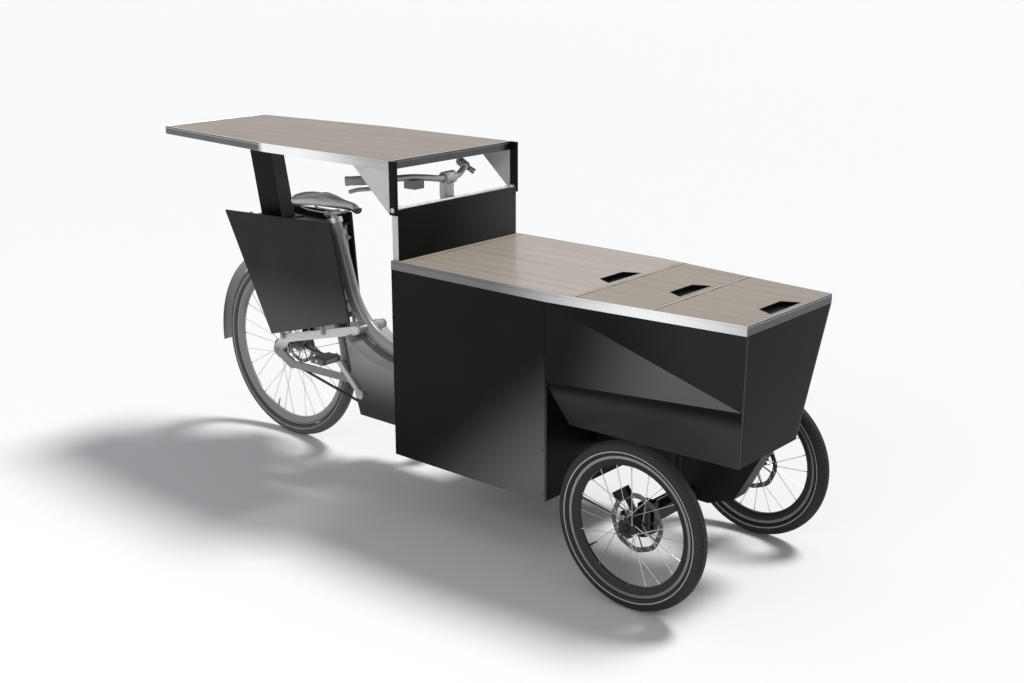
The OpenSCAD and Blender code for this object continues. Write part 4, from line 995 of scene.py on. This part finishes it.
def panel_edge(x):
    """Half width of the sewn rear panel at a place along the saddle."""
    if not panel_rear < x < panel_front:
        return 0.0
    t = (x - panel_rear) / (panel_front - panel_rear)
    return 0.06 * min(1.0, (t / 0.22) ** 0.5) * (1 - 0.45 * t * t)


for vert in skin.verts:
    spot = vert.co
    if vert.normal.z < 0.25:
        continue
    inside = panel_edge(spot.x) - abs(spot.y)
    if inside > 0:
        spot.z -= panel_depth * min(1, inside / seam_width)
    channel = max(0.0, 1 - abs(spot.y) / channel_half)
    for from_end in (spot.x + 0.66, -0.5 - spot.x):
        channel *= max(0.0, min(1, from_end / channel_fade))
    spot.z -= channel_depth * channel
outwards(skin).to_mesh(cover.data)
skin.free()
cover.data.materials.append(saddle_grey)
cover.data.shade_smooth()
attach(cover, "seat")
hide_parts("saddle")


def pipe_over(shape, plan, radius):
    """A thin pipe along the points of a plan, where the cover lies under them."""
    row = []
    for x, y in plan:
        hit, at, normal, _ = cover.ray_cast(Vector((x, y, 1.2)), Vector((0, 0, -1)))
        if hit and normal.z > 0.3:
            row.append(at + normal * radius * 0.5)
    tube_along(shape, row, radius, 8)


piping = bmesh.new()
edge_row = [(x, panel_edge(x)) for x in [-0.657 - 0.104 * k / 24 for k in range(25)]]
rear_arc = [(-0.7615, y) for y in (0.01, 0.0, -0.01)]
pipe_over(piping, edge_row + rear_arc + [(x, -y) for x, y in edge_row[::-1]], 0.0012)
for side in (1, -1):
    pipe_over(piping, [(panel_front + 0.15 * k / 14, side * (0.0335 - 0.0215 * k / 14))
                       for k in range(15)], 0.001)
piping_pale = finish("pale piping", (0.93, 0.93, 0.93), 0.4, spread=0.05, bump=0.1, fine=1500.0)
piece("saddle_piping", piping, "seat", piping_pale)
base = joined("saddle")
bmesh.ops.bisect_plane(base, geom=base.verts[:] + base.edges[:] + base.faces[:],
                       plane_co=(-0.63, 0, 0.933), plane_no=(-0.02, 0, 1), clear_outer=True)
bmesh.ops.holes_fill(base, edges=[e for e in base.edges if e.is_boundary], sides=0)
base_black = finish("moulded saddle base", (0.035, 0.035, 0.036), 0.5, spread=0.1, bump=0.1, fine=1200.0)
piece("saddle_base", soften(outwards(base), 0.0012, angle=50), "seat", base_black)

# Studio floor.
# A pale, even floor that runs past the picture; it keeps the soft shadow
# under the wheels.
ground = bmesh.new()
bmesh.ops.create_grid(ground, x_segments=4, y_segments=4, size=90)
studio_floor = shown("studio_floor", mesh_of("studio_floor", ground))
studio_floor.data.materials.append(surface("studio floor", {
    "Base Color": (0.95, 0.95, 0.95, 1), "Roughness": 0.75, "Specular IOR Level": 0.15})[0])

# Studio light.
# An even dome, a broad key light from behind on the right, and a weak fill
# from beside the camera that keeps the near side readable.
world = bpy.data.worlds.new("studio dome")
bpy.context.scene.world = world
world.use_nodes = True
sky = world.node_tree
dome = fill(sky.nodes["Background"], {"Color": (0.93, 0.95, 1.0, 1), "Strength": 0.32})
backdrop = wired(sky, "Background", {"Color": (0.97, 0.97, 0.97, 1), "Strength": 1.0})
rays = wired(sky, "LightPath", {}).outputs
seen = rays["Is Camera Ray"]
for kind in ("Is Glossy Ray", "Is Transmission Ray"):
    seen = wired(sky, "Math", {0: seen, 1: rays[kind]}, operation="MAXIMUM")
choose = wired(sky, "MixShader", {"Fac": seen, 1: dome, 2: backdrop})
fill(sky.nodes["World Output"], {"Surface": choose})
key = bpy.data.lights.new("key", "SUN")
key.energy, key.angle = 2.45, radians(16)
weak = bpy.data.lights.new("fill", "AREA")
weak.energy, weak.shape = 30, "RECTANGLE"
weak.size, weak.size_y = 3.0, 1.8
for light, at in ((key, (0.7, 1.7, 4.0)), (weak, (1.2, -4.2, 3.0))):
    lamp = shown(light.name, light)
    lamp.location = at
    lamp.rotation_euler = (Vector((0, 0, 0.5)) - Vector(at)).to_track_quat("-Z", "Y").to_euler()

# Camera, where the photograph was taken from.
# A plain long lens, with no shift and no depth of field.
camera = bpy.data.cameras.new("camera")
camera.lens, camera.sensor_width = 47.83, 36
viewer = shown("camera", camera)
viewer.location = (3.0386, -3.2763, 1.8431)
viewer.rotation_euler = (radians(90 - 16.3175), 0, radians(40.4953))
bpy.context.scene.camera = viewer
bpy.context.scene.view_settings.view_transform = "Standard"
